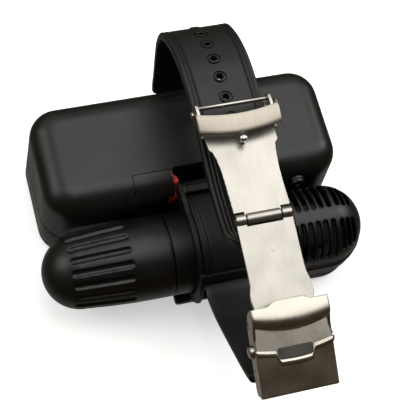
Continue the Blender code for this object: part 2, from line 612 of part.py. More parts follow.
def clasp_blade_2():
    hinge, cover = Vector(CLASP_HINGE), Vector(COVER_HINGE)
    reach = cover - hinge
    line = [reach * t for t in [0.05 + 0.90 * i / 12 for i in range(13)]]
    pivot = (0, *CLASP_HINGE)
    blade = add("clasp_blade_2", ribbon_mesh(line, lambda run, left: 0.0092, SHEET), steel, pivot)
    clear = (STRAP_X - 0.0059, STRAP_X + 0.0059)
    cut(blade, block("centre_clear", clear, (hinge.x - 0.0034, hinge.x + 0.004), (0.070, 0.085)))
    for side in (-1, 1):
        x0, x1 = sorted((STRAP_X + side * 0.0059, STRAP_X + side * 0.0092))
        join(blade, add("outer_knuckle", ring_mesh(x0, x1, PIN_CLEAR, KNUCKLE, 20), None, pivot))
        cut(blade, add("outer_clear", rod_mesh(x0 - 0.0005, x1 + 0.0005, PIN_CLEAR, 20), None, pivot))
    end = (0, *COVER_HINGE)
    cover_knuckle = ring_mesh(STRAP_X - 0.0092, STRAP_X + 0.0092, PIN_CLEAR, KNUCKLE, 20)
    join(blade, add("cover_knuckle", cover_knuckle, None, end))
    clear_bore = rod_mesh(STRAP_X - 0.01, STRAP_X + 0.01, PIN_CLEAR, 20)
    cut(blade, add("cover_knuckle_clear", clear_bore, None, end))


def on_cover(down, below=0.0):
    """A point of the cover's own frame, whose origin is its hinge pin."""
    return (-(down - COVER_ORIGIN.x), COVER_ORIGIN.y - below)


def cover_place(down, below):
    """The same point in the housing's frame, as (y, z)."""
    y, z = on_cover(down, below)
    return (COVER_HINGE[0] + y * cos(COVER_TILT) - z * sin(COVER_TILT),
            COVER_HINGE[1] + y * sin(COVER_TILT) + z * cos(COVER_TILT))


def tilted(name, bm, mat=None):
    return add(name, bm, mat, (0, *COVER_HINGE), COVER_TILT)


def cover_box(x0, x1, down0, down1, below0, below1, corner=0.0):
    y1, z1 = on_cover(down0, below0)
    y0, z0 = on_cover(down1, below1)
    return box_mesh((STRAP_X + x0, STRAP_X + x1), (y0, y1), (z0, z1), corner)


def clasp_cover():
    cover_body = cover_box(-COVER_HALF, COVER_HALF, 0.0012, COVER_LENGTH, 0.0, COVER_DEPTH)
    cover = tilted("clasp_cover", cover_body, steel)
    edge = cover.modifiers.new("Edge", "BEVEL")
    edge.width = 0.0006
    edge.segments = 2
    inside = COVER_HALF - SHEET
    cut(cover, tilted("cover_inside", cover_box(-inside, inside, -0.001, COVER_LENGTH + 0.001, SHEET, 0.02)))
    cut(cover, tilted("hood_space", cover_box(-0.02, 0.02, -0.002, HOOD_END, -0.002, 0.0022)))
    cover_hood(cover)
    for name, down, below, radius in (("hinge_pin_hole", 0.0057, 0.0038, 0.0011),
                                      ("spring_bar_hole", SPRING_BAR_AT, 0.0040, 0.0011),
                                      ("push_hole", 0.0138, 0.0040, 0.0022)):
        y, z = on_cover(down, below)
        bm = rod_mesh(STRAP_X - 0.02, STRAP_X + 0.02, radius, 20)
        bmesh.ops.translate(bm, vec=(0, y, z), verts=bm.verts)
        cut(cover, tilted(name, bm))
    span = COVER_HALF - EPS
    add("cover_pin", rod_mesh(STRAP_X - span, STRAP_X + span, PIN - EPS, 16), steel, (0, *COVER_HINGE))
    bar = rod_mesh(STRAP_X - span, STRAP_X + span, PIN - EPS, 16)
    add("clasp_spring_bar", bar, steel, (0, *cover_place(SPRING_BAR_AT, 0.0040)))
    y, z = cover_place(0.0138, 0.0040)
    for side, name in ((-1, "push_button_left"), (1, "push_button_right")):
        head = [(0.0, 0.0), (0.0, 0.0026), (0.0008, 0.0026), (0.0008, 0.0019), (0.0030, 0.0019),
                (0.0034, 0.0015), (0.0034, 0.0)]
        profile = [(side * (0.0106 + along), radius) for along, radius in head]
        add(name, turned_mesh(profile, 20), steel, (STRAP_X, y, z))


def cover_end_profile(points):
    return [on_cover(down, below) for down, below in points]


def cover_hood(cover):
    """The cover's convex end over its hinge, and the two cheeks that join it to the flanges."""
    hood = cover_end_profile([(0.0088, 0.0001), (0.0076, -0.0001), (0.0056, -0.0010), (0.0030, -0.0012),
                              (0.0004, -0.0004), (-0.0012, 0.0012), (-0.0010, 0.0018), (0.0006, 0.0008),
                              (0.0030, 0.0000), (0.0056, 0.0002), (0.0076, 0.0009), (0.0088, 0.0009)])
    wide = COVER_HALF - EPS
    join(cover, tilted("hood", prism_mesh(hood, STRAP_X - wide, STRAP_X + wide)))
    cheek = cover_end_profile([(0.0086, 0.0004), (0.0056, -0.0004), (0.0030, -0.0006), (0.0012, 0.0004),
                               (0.0016, 0.0030), (0.0086, 0.0030)])
    for side in (-1, 1):
        x0, x1 = sorted((STRAP_X + side * (wide - EPS), STRAP_X + side * (COVER_HALF - SHEET + EPS)))
        join(cover, tilted("hood_cheek", prism_mesh(cheek, x0, x1)))


def main():
    housing()
    electronics()
    battery_tube()
    battery_cap()
    sensor_end()
    strap_bracket()
    strap_a()
    strap_b()
    release_catch()
    clasp_blade_1()
    safety_bail()
    clasp_blade_2()
    clasp_cover()


for old in list(bpy.data.objects):
    bpy.data.objects.remove(old, do_unlink=True)
parts = bpy.data.collections.new("dive_computer")
cutters = bpy.data.collections.new("cutters")
bpy.context.scene.collection.children.link(parts)
bpy.context.scene.collection.children.link(cutters)

black_plastic = material("black_plastic", (0.022, 0.022, 0.023), 0.45)
grey_plastic = material("grey_plastic", (0.12, 0.12, 0.125), 0.5)
red_plastic = material("red_plastic", (0.75, 0.035, 0.012), 0.4)
rubber = material("rubber", (0.030, 0.030, 0.031), 0.6)
steel = material("steel", (0.62, 0.60, 0.57), 0.32, 1.0)
brass = material("brass", (0.70, 0.50, 0.20), 0.3, 1.0)
glass = material("glass", (0.05, 0.06, 0.07), 0.05)
dark_glass = material("dark_glass", (0.01, 0.012, 0.015), 0.15)
board_green = material("board_green", (0.02, 0.12, 0.05), 0.5)
cell_sleeve = material("cell_sleeve", (0.05, 0.12, 0.35), 0.4)
sensor_grey = material("sensor_grey", (0.09, 0.09, 0.10), 0.4)

main()
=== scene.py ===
"""Wrist dive computer, face down with its folding clasp open: pieces, finishes, lights and camera."""

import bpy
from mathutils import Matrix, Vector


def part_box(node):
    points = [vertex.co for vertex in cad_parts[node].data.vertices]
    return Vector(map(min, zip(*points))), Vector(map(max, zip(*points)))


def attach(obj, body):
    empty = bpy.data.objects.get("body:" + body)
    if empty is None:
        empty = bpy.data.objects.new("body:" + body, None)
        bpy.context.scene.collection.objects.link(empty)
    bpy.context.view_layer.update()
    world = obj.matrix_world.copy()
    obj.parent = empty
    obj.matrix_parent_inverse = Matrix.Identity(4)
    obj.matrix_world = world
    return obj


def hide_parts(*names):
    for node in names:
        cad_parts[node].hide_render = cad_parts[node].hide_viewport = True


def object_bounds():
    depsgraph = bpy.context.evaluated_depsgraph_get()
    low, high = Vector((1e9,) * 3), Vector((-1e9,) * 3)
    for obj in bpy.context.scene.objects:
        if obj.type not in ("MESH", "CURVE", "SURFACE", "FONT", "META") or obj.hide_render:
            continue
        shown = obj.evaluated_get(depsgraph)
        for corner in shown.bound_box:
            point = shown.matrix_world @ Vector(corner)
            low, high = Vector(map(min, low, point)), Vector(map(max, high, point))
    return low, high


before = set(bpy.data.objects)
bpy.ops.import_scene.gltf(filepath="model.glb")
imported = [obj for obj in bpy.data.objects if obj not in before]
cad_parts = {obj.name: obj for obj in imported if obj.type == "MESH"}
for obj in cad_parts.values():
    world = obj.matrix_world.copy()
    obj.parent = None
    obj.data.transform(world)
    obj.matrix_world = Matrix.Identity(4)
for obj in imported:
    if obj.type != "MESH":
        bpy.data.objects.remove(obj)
cad_box = [list(corner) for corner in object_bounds()]

from math import atan2, cos, hypot, pi, radians, sin, sqrt

import bmesh
import bpy
from mathutils import Matrix, Vector

# ---- Sizes are in millimetres from the middle of the housing's front face; stand() makes them the part's.
MM = 0.001
CASE_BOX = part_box("front_shell")
MIDDLE = Vector(((CASE_BOX[0][0] + CASE_BOX[1][0]) / 2, (CASE_BOX[0][1] + CASE_BOX[1][1]) / 2, 0.0))


def middle_of(node):
    """The middle of a node's box, in these millimetres."""
    low, high = (Vector(corner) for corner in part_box(node))
    return ((low + high) / 2 - MIDDLE) / MM


CASE_X, CASE_Y, CASE_Z = 54.1, 21.75, 38.0
CASE_CORNER, BACK_ROUND, FRONT_ROUND, DRAFT = 11.0, 8.2, 2.0, 1.0
SEAM_Z, SEAM_GAP = 13.0, 0.3
NEAR_NOTCH = ((-8.4, 21.4), (-40.0, -11.7), (24.0, 60.0))
FAR_NOTCH = ((-4.4, 17.4), (14.8, 40.0), (19.0, 60.0))
TUBE_Y, TUBE_Z, TUBE_R = -35.8, 18.9, 14.7
TUBE_LINE = (0, TUBE_Y, TUBE_Z)
TUBE_CLEAR = 0.35
CAP_TIP, CAP_TIP_R = -58.4, 13.3
CAP_TAPER = [(-45.1, 13.3), (-36.0, 14.1), (-28.0, 14.55), (-20.0, 14.7), (-14.9, 14.7)]
CAGE_START, CAGE_TIP, CAGE_R, CAGE_FLOOR = 24.2, 58.4, 14.4, 9.0
STRAP_X, STRAP_HALF, STRAP_THICK = 6.5, 12.0, 3.2
CLASP_HINGE, COVER_HINGE, BAIL_PIVOT = (-51.5, 77.4), (-83.5, 70.5), (-14.5, 80.2)
COVER_TILT = radians(28.8)
BLADE_Z = 77.9
COVER_HALF, COVER_END, COVER_ROUND = 12.6, 28.2, 0.7
SCREW_X, SCREW_Y, KEY_X = 44.5, 12.5, 45.5
STRAP_NECK, STRAP_UNDER_ROUND = 10.4, 0.7
SHEET_THICK, BLADE_CROWN, EDGE_SOFT = 1.0, 0.0012, 0.22
KNUCKLE_R, PIN_BORE_R = 1.85, 1.15


# ------------------------------------------------------------------ node helpers for finishes
def new_finish(name, colour, roughness, metallic=0.0):
    mat = bpy.data.materials.new(name)
    mat.use_nodes = True
    shader = mat.node_tree.nodes["Principled BSDF"]
    shader.inputs["Base Color"].default_value = (*colour, 1.0)
    shader.inputs["Roughness"].default_value = roughness
    shader.inputs["Metallic"].default_value = metallic
    return mat, mat.node_tree, shader


def node(tree, kind, **values):
    made = tree.nodes.new(kind)
    for key, value in values.items():
        if key in made.bl_rna.properties:
            setattr(made, key, value)
        else:
            made.inputs[key.replace("_", " ")].default_value = value
    return made


def places(tree, stretch=(1.0, 1.0, 1.0)):
    """Object coordinates in millimetres, stretched along each axis."""
    coords = node(tree, "ShaderNodeTexCoord")
    mapping = node(tree, "ShaderNodeMapping")
    mapping.inputs["Scale"].default_value = [s / MM for s in stretch]
    tree.links.new(coords.outputs["Object"], mapping.inputs["Vector"])
    return mapping.outputs["Vector"]


def grain(tree, where, scale, detail=2.0, roughness=0.5):
    noise = node(tree, "ShaderNodeTexNoise", Scale=scale, Detail=detail, Roughness=roughness)
    tree.links.new(where, noise.inputs["Vector"])
    return noise.outputs["Fac"]


def spread(tree, value, low, high, start=0.0, end=1.0):
    """Map a value's range onto another."""
    mapped = node(tree, "ShaderNodeMapRange")
    for key, number in (("From Min", start), ("From Max", end), ("To Min", low), ("To Max", high)):
        mapped.inputs[key].default_value = number
    tree.links.new(value, mapped.inputs["Value"])
    return mapped.outputs["Result"]


def between(tree, value, dark, light):
    ramp = node(tree, "ShaderNodeMix", data_type="RGBA")
    ramp.inputs["A"].default_value = (*dark, 1.0)
    ramp.inputs["B"].default_value = (*light, 1.0)
    tree.links.new(value, ramp.inputs["Factor"])
    return ramp.outputs["Result"]


def raised(tree, shader, height, distance, strength=1.0, under=None):
    bump = node(tree, "ShaderNodeBump", Strength=strength, Distance=distance * MM)
    tree.links.new(height, bump.inputs["Height"])
    if under:
        tree.links.new(under, bump.inputs["Normal"])
    tree.links.new(bump.outputs["Normal"], shader.inputs["Normal"])
    return bump.outputs["Normal"]


def moulded(name, dark, light, rough=(0.38, 0.50), texture=0.16, depth=0.03):
    """Moulded plastic or rubber: a fine spark texture and cloudy gloss."""
    mat, tree, shader = new_finish(name, dark, rough[0])
    where = places(tree)
    fine = grain(tree, where, 1.0 / texture, 3.0, 0.6)
    cloudy = grain(tree, where, 0.09, 3.0, 0.55)
    tree.links.new(between(tree, spread(tree, cloudy, 0.0, 1.0, 0.3, 0.7), dark, light),
            shader.inputs["Base Color"])
    tree.links.new(spread(tree, cloudy, rough[0], rough[1], 0.3, 0.7), shader.inputs["Roughness"])
    shader.inputs["Specular IOR Level"].default_value = 0.38
    raised(tree, shader, fine, depth)
    return mat


def brushed(name, dark, light, rough=(0.26, 0.40), stretch=(1.0, 0.03, 0.03), depth=0.010):
    """Sheet steel with fine straight brush lines, each a little lighter or darker than the next."""
    mat, tree, shader = new_finish(name, light, rough[0], 1.0)
    where = places(tree, stretch)
    lines = grain(tree, where, 5.0, 4.0, 0.65)
    broad = grain(tree, places(tree), 0.12, 2.0)
    tree.links.new(between(tree, spread(tree, lines, 0.0, 1.0, 0.3, 0.7), dark, light),
            shader.inputs["Base Color"])
    tree.links.new(spread(tree, broad, rough[0], rough[1], 0.3, 0.7), shader.inputs["Roughness"])
    raised(tree, shader, lines, depth)
    return mat


case_black = moulded("case_black", (0.0065, 0.0065, 0.0062), (0.0100, 0.0102, 0.0094), (0.30, 0.39))
tube_black = moulded("tube_black", (0.0050, 0.0050, 0.0049), (0.0080, 0.0080, 0.0076), (0.26, 0.36), 0.18,
        0.04)
bracket_black = moulded("bracket_black", (0.0045, 0.0045, 0.0045), (0.0070, 0.0070, 0.0066), (0.34, 0.46))
strap_rubber = moulded("strap_rubber", (0.0062, 0.0062, 0.0058), (0.0095, 0.0096, 0.0088), (0.42, 0.54),
        0.22, 0.02)
inner_black = moulded("inner_black", (0.0045, 0.0045, 0.0045), (0.0070, 0.0070, 0.0070), (0.5, 0.6))
catch_red = moulded("catch_red", (0.62, 0.035, 0.015), (0.72, 0.05, 0.022), (0.34, 0.44), 0.3, 0.02)
key_grey = moulded("key_grey", (0.07, 0.07, 0.075), (0.10, 0.10, 0.105), (0.42, 0.52))
sensor_grey = moulded("sensor_grey", (0.035, 0.035, 0.04), (0.055, 0.055, 0.06), (0.4, 0.5))
board_green = moulded("board_green", (0.012, 0.09, 0.035), (0.02, 0.13, 0.05), (0.3, 0.4), 0.5, 0.01)
sleeve_blue = moulded("sleeve_blue", (0.02, 0.07, 0.24), (0.03, 0.10, 0.32), (0.25, 0.35), 0.8, 0.01)
display_black = moulded("display_black", (0.006, 0.008, 0.009), (0.010, 0.012, 0.014), (0.14, 0.20), 0.6,
        0.004)
blade_steel = brushed("blade_steel", (0.365, 0.347, 0.315), (0.425, 0.408, 0.375), (0.30, 0.40),
        (1.0, 0.03, 0.03))
cover_steel = brushed("cover_steel", (0.430, 0.398, 0.345), (0.500, 0.468, 0.412), (0.25, 0.33),
        (1.0, 0.03, 0.03), 0.008)
bail_steel = brushed("bail_steel", (0.290, 0.262, 0.222), (0.350, 0.322, 0.278), (0.30, 0.38),
        (1.0, 0.03, 0.03), 0.008)
pin_steel = brushed("pin_steel", (0.42, 0.41, 0.38), (0.50, 0.485, 0.45), (0.20, 0.28), (0.05, 1.0, 1.0),
        0.004)
lip_steel = brushed("lip_steel", (0.55, 0.54, 0.52), (0.62, 0.61, 0.59), (0.14, 0.20), (1.0, 0.1, 0.1),
        0.003)
screw_steel = brushed("screw_steel", (0.50, 0.49, 0.47), (0.60, 0.59, 0.57), (0.26, 0.34),
        (1.0, 1.0, 1.0), 0.004)
contact_brass = brushed("contact_brass", (0.62, 0.42, 0.15), (0.72, 0.52, 0.22), (0.22, 0.32),
        (1.0, 1.0, 0.2), 0.004)
label_grey = moulded("label_grey", (0.030, 0.028, 0.024), (0.110, 0.104, 0.092), (0.40, 0.50), 0.30, 0.08)


def clear_glass():
    mat, tree, shader = new_finish("window_glass", (0.75, 0.80, 0.80), 0.04)
    shader.inputs["Transmission Weight"].default_value = 0.9
    shader.inputs["IOR"].default_value = 1.5
    smears = spread(tree, grain(tree, places(tree), 0.15, 3.0), 0.03, 0.09, 0.3, 0.7)
    tree.links.new(smears, shader.inputs["Roughness"])
    return mat


window_glass = clear_glass()


# ------------------------------------------------------------------ mesh helpers
def loose(name, bm, place=(0.0, 0.0, 0.0), tilt=0.0):
    """An object in millimetres whose place is in its mesh, with its faces pointing out."""
    bmesh.ops.remove_doubles(bm, verts=bm.verts, dist=1e-4)
    bmesh.ops.recalc_face_normals(bm, faces=bm.faces)
    mesh = bpy.data.meshes.new(name)
    bm.to_mesh(mesh)
    bm.free()
    mesh.transform(Matrix.Translation(place) @ Matrix.Rotation(tilt, 4, "X"))
    obj = bpy.data.objects.new(name, mesh)
    bpy.context.collection.objects.link(obj)
    return obj


def settle(obj):
    """Apply an object's modifiers, leaving a plain mesh."""
    graph = bpy.context.evaluated_depsgraph_get()
    mesh = bpy.data.meshes.new_from_object(obj.evaluated_get(graph), depsgraph=graph)
    obj.modifiers.clear()
    obj.data = mesh
    return obj


def combine(obj, operation, tools):
    for tool in tools:
        mod = obj.modifiers.new(operation, "BOOLEAN")
        mod.operation = operation
        mod.solver = "EXACT"
        mod.object = tool
    settle(obj)
    for tool in tools:
        bpy.data.objects.remove(tool)
    return obj


def cut(obj, *tools):
    return combine(obj, "DIFFERENCE", tools)


def join(obj, *tools):
    return combine(obj, "UNION", tools)


def soften(obj, grid, rounds):
    """Round every edge as a mould does: rebuild the skin on a fine grid, then relax it."""
    mod = obj.modifiers.new("skin", "REMESH")
    mod.mode = "VOXEL"
    mod.voxel_size = grid
    relax = obj.modifiers.new("relax", "SMOOTH")
    relax.factor = 0.5
    relax.iterations = rounds
    settle(obj)
    bm = bmesh.new()
    bm.from_mesh(obj.data)
    bmesh.ops.triangulate(bm, faces=bm.faces)
    bm.to_mesh(obj.data)
    bm.free()
    return obj


def round_edges(obj, width, segments=2, angle=35.0):
    mod = obj.modifiers.new("edge", "BEVEL")
    mod.width = width
    mod.segments = segments
    mod.limit_method = "ANGLE"
    mod.angle_limit = radians(angle)
    return settle(obj)


def stand(obj, finish, body, slot, *nodes, sharp=40.0):
    """Finish a piece: carry it into the part, smooth it, give it its finish, hang it on the body it rides
    on, and hide the nodes it stands for.
    """
    mesh = obj.data
    mesh.transform(Matrix.Translation(MIDDLE) @ Matrix.Scale(MM, 4))
    mesh.shade_smooth()
    mesh.set_sharp_from_angle(angle=radians(sharp))
    mesh.materials.clear()
    mesh.materials.append(finish)
    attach(obj, body)
    if nodes:
        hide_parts(*nodes)
    return obj


def skin(rows, caps=True, closed=False, split=False):
    """A surface through rows of points; each row is a closed loop."""
    bm = bmesh.new()
    made = [[bm.verts.new(p) for p in row] for row in rows]
    pairs = list(zip(made, made[1:])) + ([(made[-1], made[0])] if closed else [])
    for a, b in pairs:
        for i in range(len(a)):
            j = (i + 1) % len(a)
            bm.faces.new((a[i], a[j], b[j], b[i]))
    if caps and not closed:
        bm.faces.new(made[0])
        bm.faces.new(made[-1])
    if split:
        bmesh.ops.triangulate(bm, faces=bm.faces)
    return bm


def rounded(half_x, half_y, corner, steps=12):
    """A rounded rectangle's points about the origin."""
    corner = max(corner, 0.3)
    points = []
    for quarter, (sx, sy) in enumerate(((1, 1), (-1, 1), (-1, -1), (1, -1))):
        for i in range(steps + 1):
            a = pi / 2 * (quarter + i / steps)
            points.append((sx * (half_x - corner) + corner * cos(a), sy * (half_y - corner)
                    + corner * sin(a)))
    return points


def box(name, x, y, z, corner=0.0, place=(0, 0, 0), tilt=0.0, segments=4):
    """A block between pairs of limits with all its edges rounded."""
    bm = bmesh.new()
    bmesh.ops.create_cube(bm, size=1.0)
    for v in bm.verts:
        v.co = [low + (c + 0.5) * (high - low) for c, (low, high) in zip(v.co, (x, y, z))]
    if corner:
        bmesh.ops.bevel(bm, geom=bm.edges[:], offset=corner, segments=segments, affect="EDGES", profile=0.5)
    return loose(name, bm, place, tilt)


def turned(profile, steps=64):
    """Turn (along, radius) points about X. Ends on the axis close themselves; a ring closes on itself."""
    on_axis = profile[0][1] < 1e-6
    rows = []
    for i in range(steps):
        a = 2 * pi * i / steps
        rows.append([(x, r * sin(a), r * cos(a)) for x, r in profile])
    bm = bmesh.new()
    made = [[bm.verts.new(p) for p in row] for row in rows]
    for a, b in zip(made, made[1:] + made[:1]):
        for i in range(len(profile) - (1 if on_axis else 0)):
            j = (i + 1) % len(profile)
            bm.faces.new((a[i], b[i], b[j], a[j]))
    bmesh.ops.remove_doubles(bm, verts=bm.verts, dist=1e-4)
    bmesh.ops.dissolve_degenerate(bm, edges=bm.edges, dist=1e-5)
    return bm


def round_bar(name, end, place=(0.0, 0.0, 0.0), steps=32):
    """A round bar along X, the same at both ends, from the points of its right half, tip first."""
    return loose(name, turned([(-x, r) for x, r in end] + end[::-1], steps), place)


def knuckle(x0, x1, radius, place):
    """A hinge barrel between two X limits, open for its pin, its ends eased."""
    profile = [(x0, 1.2), (x0, 1.6), (x0 + 0.2, radius), (x1 - 0.2, radius), (x1, 1.6), (x1, 1.2)]
    return loose("knuckle_tool", turned(profile, 40), place)


def rolled(near, radius):
    """How far a face drops at this distance from its edge when the edge is rounded."""
    return radius - sqrt(max(radius ** 2 - (radius - near) ** 2, 0.0)) if near < radius else 0.0


def upright(profile, steps=40):
    bm = turned(profile, steps)
    bmesh.ops.rotate(bm, verts=bm.verts, cent=(0, 0, 0), matrix=Matrix.Rotation(-pi / 2, 3, "Y"))
    return bm


def prism(outline, x0, x1):
    """A flat (y, z) outline made into a plate between two X limits."""
    return skin([[(x0, y, z) for y, z in outline], [(x1, y, z) for y, z in outline]])


def arc(centre, radius, start, end, steps):
    """Points on a (y, z) circle; angles from +Z, positive towards +Y, in degrees."""
    turns = [radians(start + (end - start) * i / steps) for i in range(steps + 1)]
    return [(centre[0] + radius * sin(a), centre[1] + radius * cos(a)) for a in turns]


def dome(centre, radius, direction, steps=20):
    """(along, radius) points from the pole of a dome out to its edge."""
    return [(centre + direction * radius * cos(pi / 2 * i / steps), radius * sin(pi / 2 * i / steps))
            for i in range(steps + 1)]


def smooth_path(points, step):
    """Even points on a Catmull-Rom curve through the given (y, z) ones, left-hand normals and length."""
    ends = [points[0]] + list(points) + [points[-1]]
    fine = []
    for a, b, c, d in zip(ends, ends[1:], ends[2:], ends[3:]):
        a, b, c, d = Vector(a), Vector(b), Vector(c), Vector(d)
        for i in range(24):
            t = i / 24
            fine.append(0.5 * (2 * b + (c - a) * t + (2 * a - 5 * b + 4 * c - d) * t * t
                    + (3 * b - a - 3 * c + d) * t ** 3))
    fine.append(Vector(points[-1]))
    run = [0.0]
    for p, q in zip(fine, fine[1:]):
        run.append(run[-1] + (q - p).length)
    count = max(2, round(run[-1] / step))
    path, k = [], 0
    for i in range(count + 1):
        target = run[-1] * i / count
        while k < len(fine) - 2 and run[k + 1] < target:
            k += 1
        t = (target - run[k]) / max(run[k + 1] - run[k], 1e-9)
        path.append(fine[k].lerp(fine[k + 1], min(max(t, 0.0), 1.0)))
    normals = []
    for i in range(len(path)):
        step_along = path[min(i + 2, len(path) - 1)] - path[max(i - 2, 0)]
        normals.append(Vector((-step_along.y, step_along.x)).normalized())
    return path, normals, run[-1]


# ------------------------------------------------------------------ geometry node trees
def start_tree(name, inputs):
    """An empty tree with a geometry output and the named inputs."""
    tree = bpy.data.node_groups.new(name, "GeometryNodeTree")
    for label, kind in inputs:
        tree.interface.new_socket(label, in_out="INPUT", socket_type="NodeSocket" + kind)
    tree.interface.new_socket("Geometry", in_out="OUTPUT", socket_type="NodeSocketGeometry")
    return tree, tree.nodes.new("NodeGroupInput"), tree.nodes.new("NodeGroupOutput")


def end_tree(tree, given, result, instances):
    """Realize Instances, then Set Material, then out."""
    real = tree.nodes.new("GeometryNodeRealizeInstances")
    paint = tree.nodes.new("GeometryNodeSetMaterial")
    tree.links.new(instances, real.inputs[0])
    tree.links.new(real.outputs[0], paint.inputs["Geometry"])
    tree.links.new(given.outputs["Finish"], paint.inputs["Material"])
    tree.links.new(paint.outputs[0], result.inputs[0])


def row_tree():
    """Copies of a piece in a straight row, each turned a little further about X than the last."""
    tree, given, result = start_tree("row_of_pieces", [("Geometry", "Geometry"), ("Piece", "Object"),
            ("Count", "Int"), ("Pitch", "Vector"), ("First place", "Vector"), ("First turn", "Float"),
            ("Turn step", "Float"), ("Finish", "Material")])
    link = tree.links.new
    line = tree.nodes.new("GeometryNodeMeshLine")
    line.mode = "OFFSET"
    piece = tree.nodes.new("GeometryNodeObjectInfo")
    index = tree.nodes.new("GeometryNodeInputIndex")
    turn = tree.nodes.new("ShaderNodeMath")
    turn.operation = "MULTIPLY_ADD"
    euler = tree.nodes.new("ShaderNodeCombineXYZ")
    place = tree.nodes.new("GeometryNodeInstanceOnPoints")
    link(given.outputs["Count"], line.inputs["Count"])
    link(given.outputs["First place"], line.inputs["Start Location"])
    link(given.outputs["Pitch"], line.inputs["Offset"])
    link(given.outputs["Piece"], piece.inputs["Object"])
    link(index.outputs[0], turn.inputs[0])
    link(given.outputs["Turn step"], turn.inputs[1])
    link(given.outputs["First turn"], turn.inputs[2])
    link(turn.outputs[0], euler.inputs["X"])
    link(line.outputs[0], place.inputs["Points"])
    link(piece.outputs["Geometry"], place.inputs["Instance"])
    link(euler.outputs[0], place.inputs["Rotation"])
    end_tree(tree, given, result, place.outputs[0])
    return tree


def path_tree():
    """Copies of a piece on the given points, each turned about X by its point's own angle."""
    tree, given, result = start_tree("pieces_on_path", [("Geometry", "Geometry"), ("Piece", "Object"),
            ("Size", "Float"), ("Finish", "Material")])
    link = tree.links.new
    piece = tree.nodes.new("GeometryNodeObjectInfo")
    angle = tree.nodes.new("GeometryNodeInputNamedAttribute")
    angle.data_type = "FLOAT"
    angle.inputs["Name"].default_value = "tilt"
    euler = tree.nodes.new("ShaderNodeCombineXYZ")
    place = tree.nodes.new("GeometryNodeInstanceOnPoints")
    link(given.outputs["Piece"], piece.inputs["Object"])
    link(angle.outputs["Attribute"], euler.inputs["X"])
    link(given.outputs["Geometry"], place.inputs["Points"])
    link(piece.outputs["Geometry"], place.inputs["Instance"])
    link(euler.outputs[0], place.inputs["Rotation"])
    link(given.outputs["Size"], place.inputs["Scale"])
    end_tree(tree, given, result, place.outputs[0])
    return tree


ROW, ON_PATH = row_tree(), path_tree()


def grow(obj, tree, **values):
    """Run a tree on an object with its inputs set by their identifiers, and keep the mesh it makes."""
    mod = obj.modifiers.new(tree.name, "NODES")
    mod.node_group = tree
    for item in tree.interface.items_tree:
        key = item.name.lower().replace(" ", "_")
        if item.in_out == "INPUT" and key in values:
            mod[item.identifier] = values[key]
    tool = values["piece"]
    settle(obj)
    bpy.data.objects.remove(tool)
    return obj


def row_of(name, piece, count, pitch=(0.0, 0.0, 0.0), first=(0.0, 0.0, 0.0), turn=0.0, turn_step=0.0,
        finish=None):
    holder = bpy.data.objects.new(name, bpy.data.meshes.new(name))
    bpy.context.collection.objects.link(holder)
    return grow(holder, ROW, piece=piece, count=count, pitch=pitch, first_place=first, first_turn=turn,
            turn_step=turn_step, finish=finish or case_black)


def on_points(name, piece, points, tilts, finish, size=1.0):
    mesh = bpy.data.meshes.new(name)
    mesh.from_pydata(points, [], [])
    tilt = mesh.attributes.new("tilt", "FLOAT", "POINT")
    tilt.data.foreach_set("value", tilts)
    holder = bpy.data.objects.new(name, mesh)
    bpy.context.collection.objects.link(holder)
    return grow(holder, ON_PATH, piece=piece, size=size, finish=finish)


# ------------------------------------------------------------------ housing
def case_level(z):
    """The housing's outline at a height: drafted, and drawn in over its rounded back and front edges."""
    inset = DRAFT * z / CASE_Z
    if z > CASE_Z - BACK_ROUND:
        over = z - (CASE_Z - BACK_ROUND)
        inset += BACK_ROUND - sqrt(max(BACK_ROUND ** 2 - over ** 2, 0.0))
    if z < FRONT_ROUND:
        inset += FRONT_ROUND - sqrt(FRONT_ROUND ** 2 - (FRONT_ROUND - z) ** 2)
    return [(x, y, z) for x, y in rounded(CASE_X - inset, CASE_Y - inset, CASE_CORNER - inset, 16)]


def case_solid(name, low, high):
    levels = [low]
    levels += [FRONT_ROUND * (1 - cos(pi / 2 * i / 5)) for i in range(6)]
    levels += [SEAM_Z, CASE_Z - BACK_ROUND]
    levels += [CASE_Z - BACK_ROUND + BACK_ROUND * sin(pi / 2 * i / 18) for i in range(1, 19)]
    levels = sorted({round(z, 4) for z in levels if low <= z <= high} | {low, high})
    return loose(name, skin([case_level(z) for z in levels]))


def tube_cutter(radius):
    return round_bar("cradle_tool", [(80, 0), (80, radius)], TUBE_LINE, 96)


def hollow(low, high, wall=2.7):
    """The room inside the housing, kept clear of the strap notches."""
    plan = rounded(CASE_X - wall - 0.6, CASE_Y - wall - 0.6, 7.0, 6)
    room = loose("hollow_tool", skin([[(x, y, z) for x, y in plan] for z in (low, high)]))
    guards = []
    for (x0, x1), (y0, y1), (z0, z1) in (NEAR_NOTCH, FAR_NOTCH):
        guards.append(box("guard_tool", (x0 - 6.0, x1 + 2.4), (y0 - 2.4, y1 + 2.4), (z0 - 2.4, z1)))
    return cut(room, *guards, tube_cutter(TUBE_R + 2.4))


def housing_back():
    body = case_solid("back_housing", SEAM_Z + SEAM_GAP / 2, CASE_Z)
    notches = [box("notch_tool", *limits, corner=1.5) for limits in (NEAR_NOTCH, FAR_NOTCH)]
    pockets = [box("pocket_tool", (-12.6, -8.0), (-20.7, -16.8), (26.0, 32.1)),
            box("pocket_tool", (-12.6, -8.0), (-17.8, -12.1), (26.0, 35.2))]
    cut(body, *notches, tube_cutter(TUBE_R + TUBE_CLEAR), *pockets)
    soften(body, 0.5, 4)
    # the access panel beside the near notch is outlined by a fine gap
    gaps = [box("gap_tool", (-22.6, -8.2), (-12.35, -12.1), (37.2, 38.6)),
            box("gap_tool", (-22.75, -22.5), (-22.0, -12.1), (33.8, 38.6))]
    cut(body, hollow(SEAM_Z - 1, CASE_Z - 3.0), *gaps)
    stand(body, case_black, "housing", "black_plastic", "back_shell")


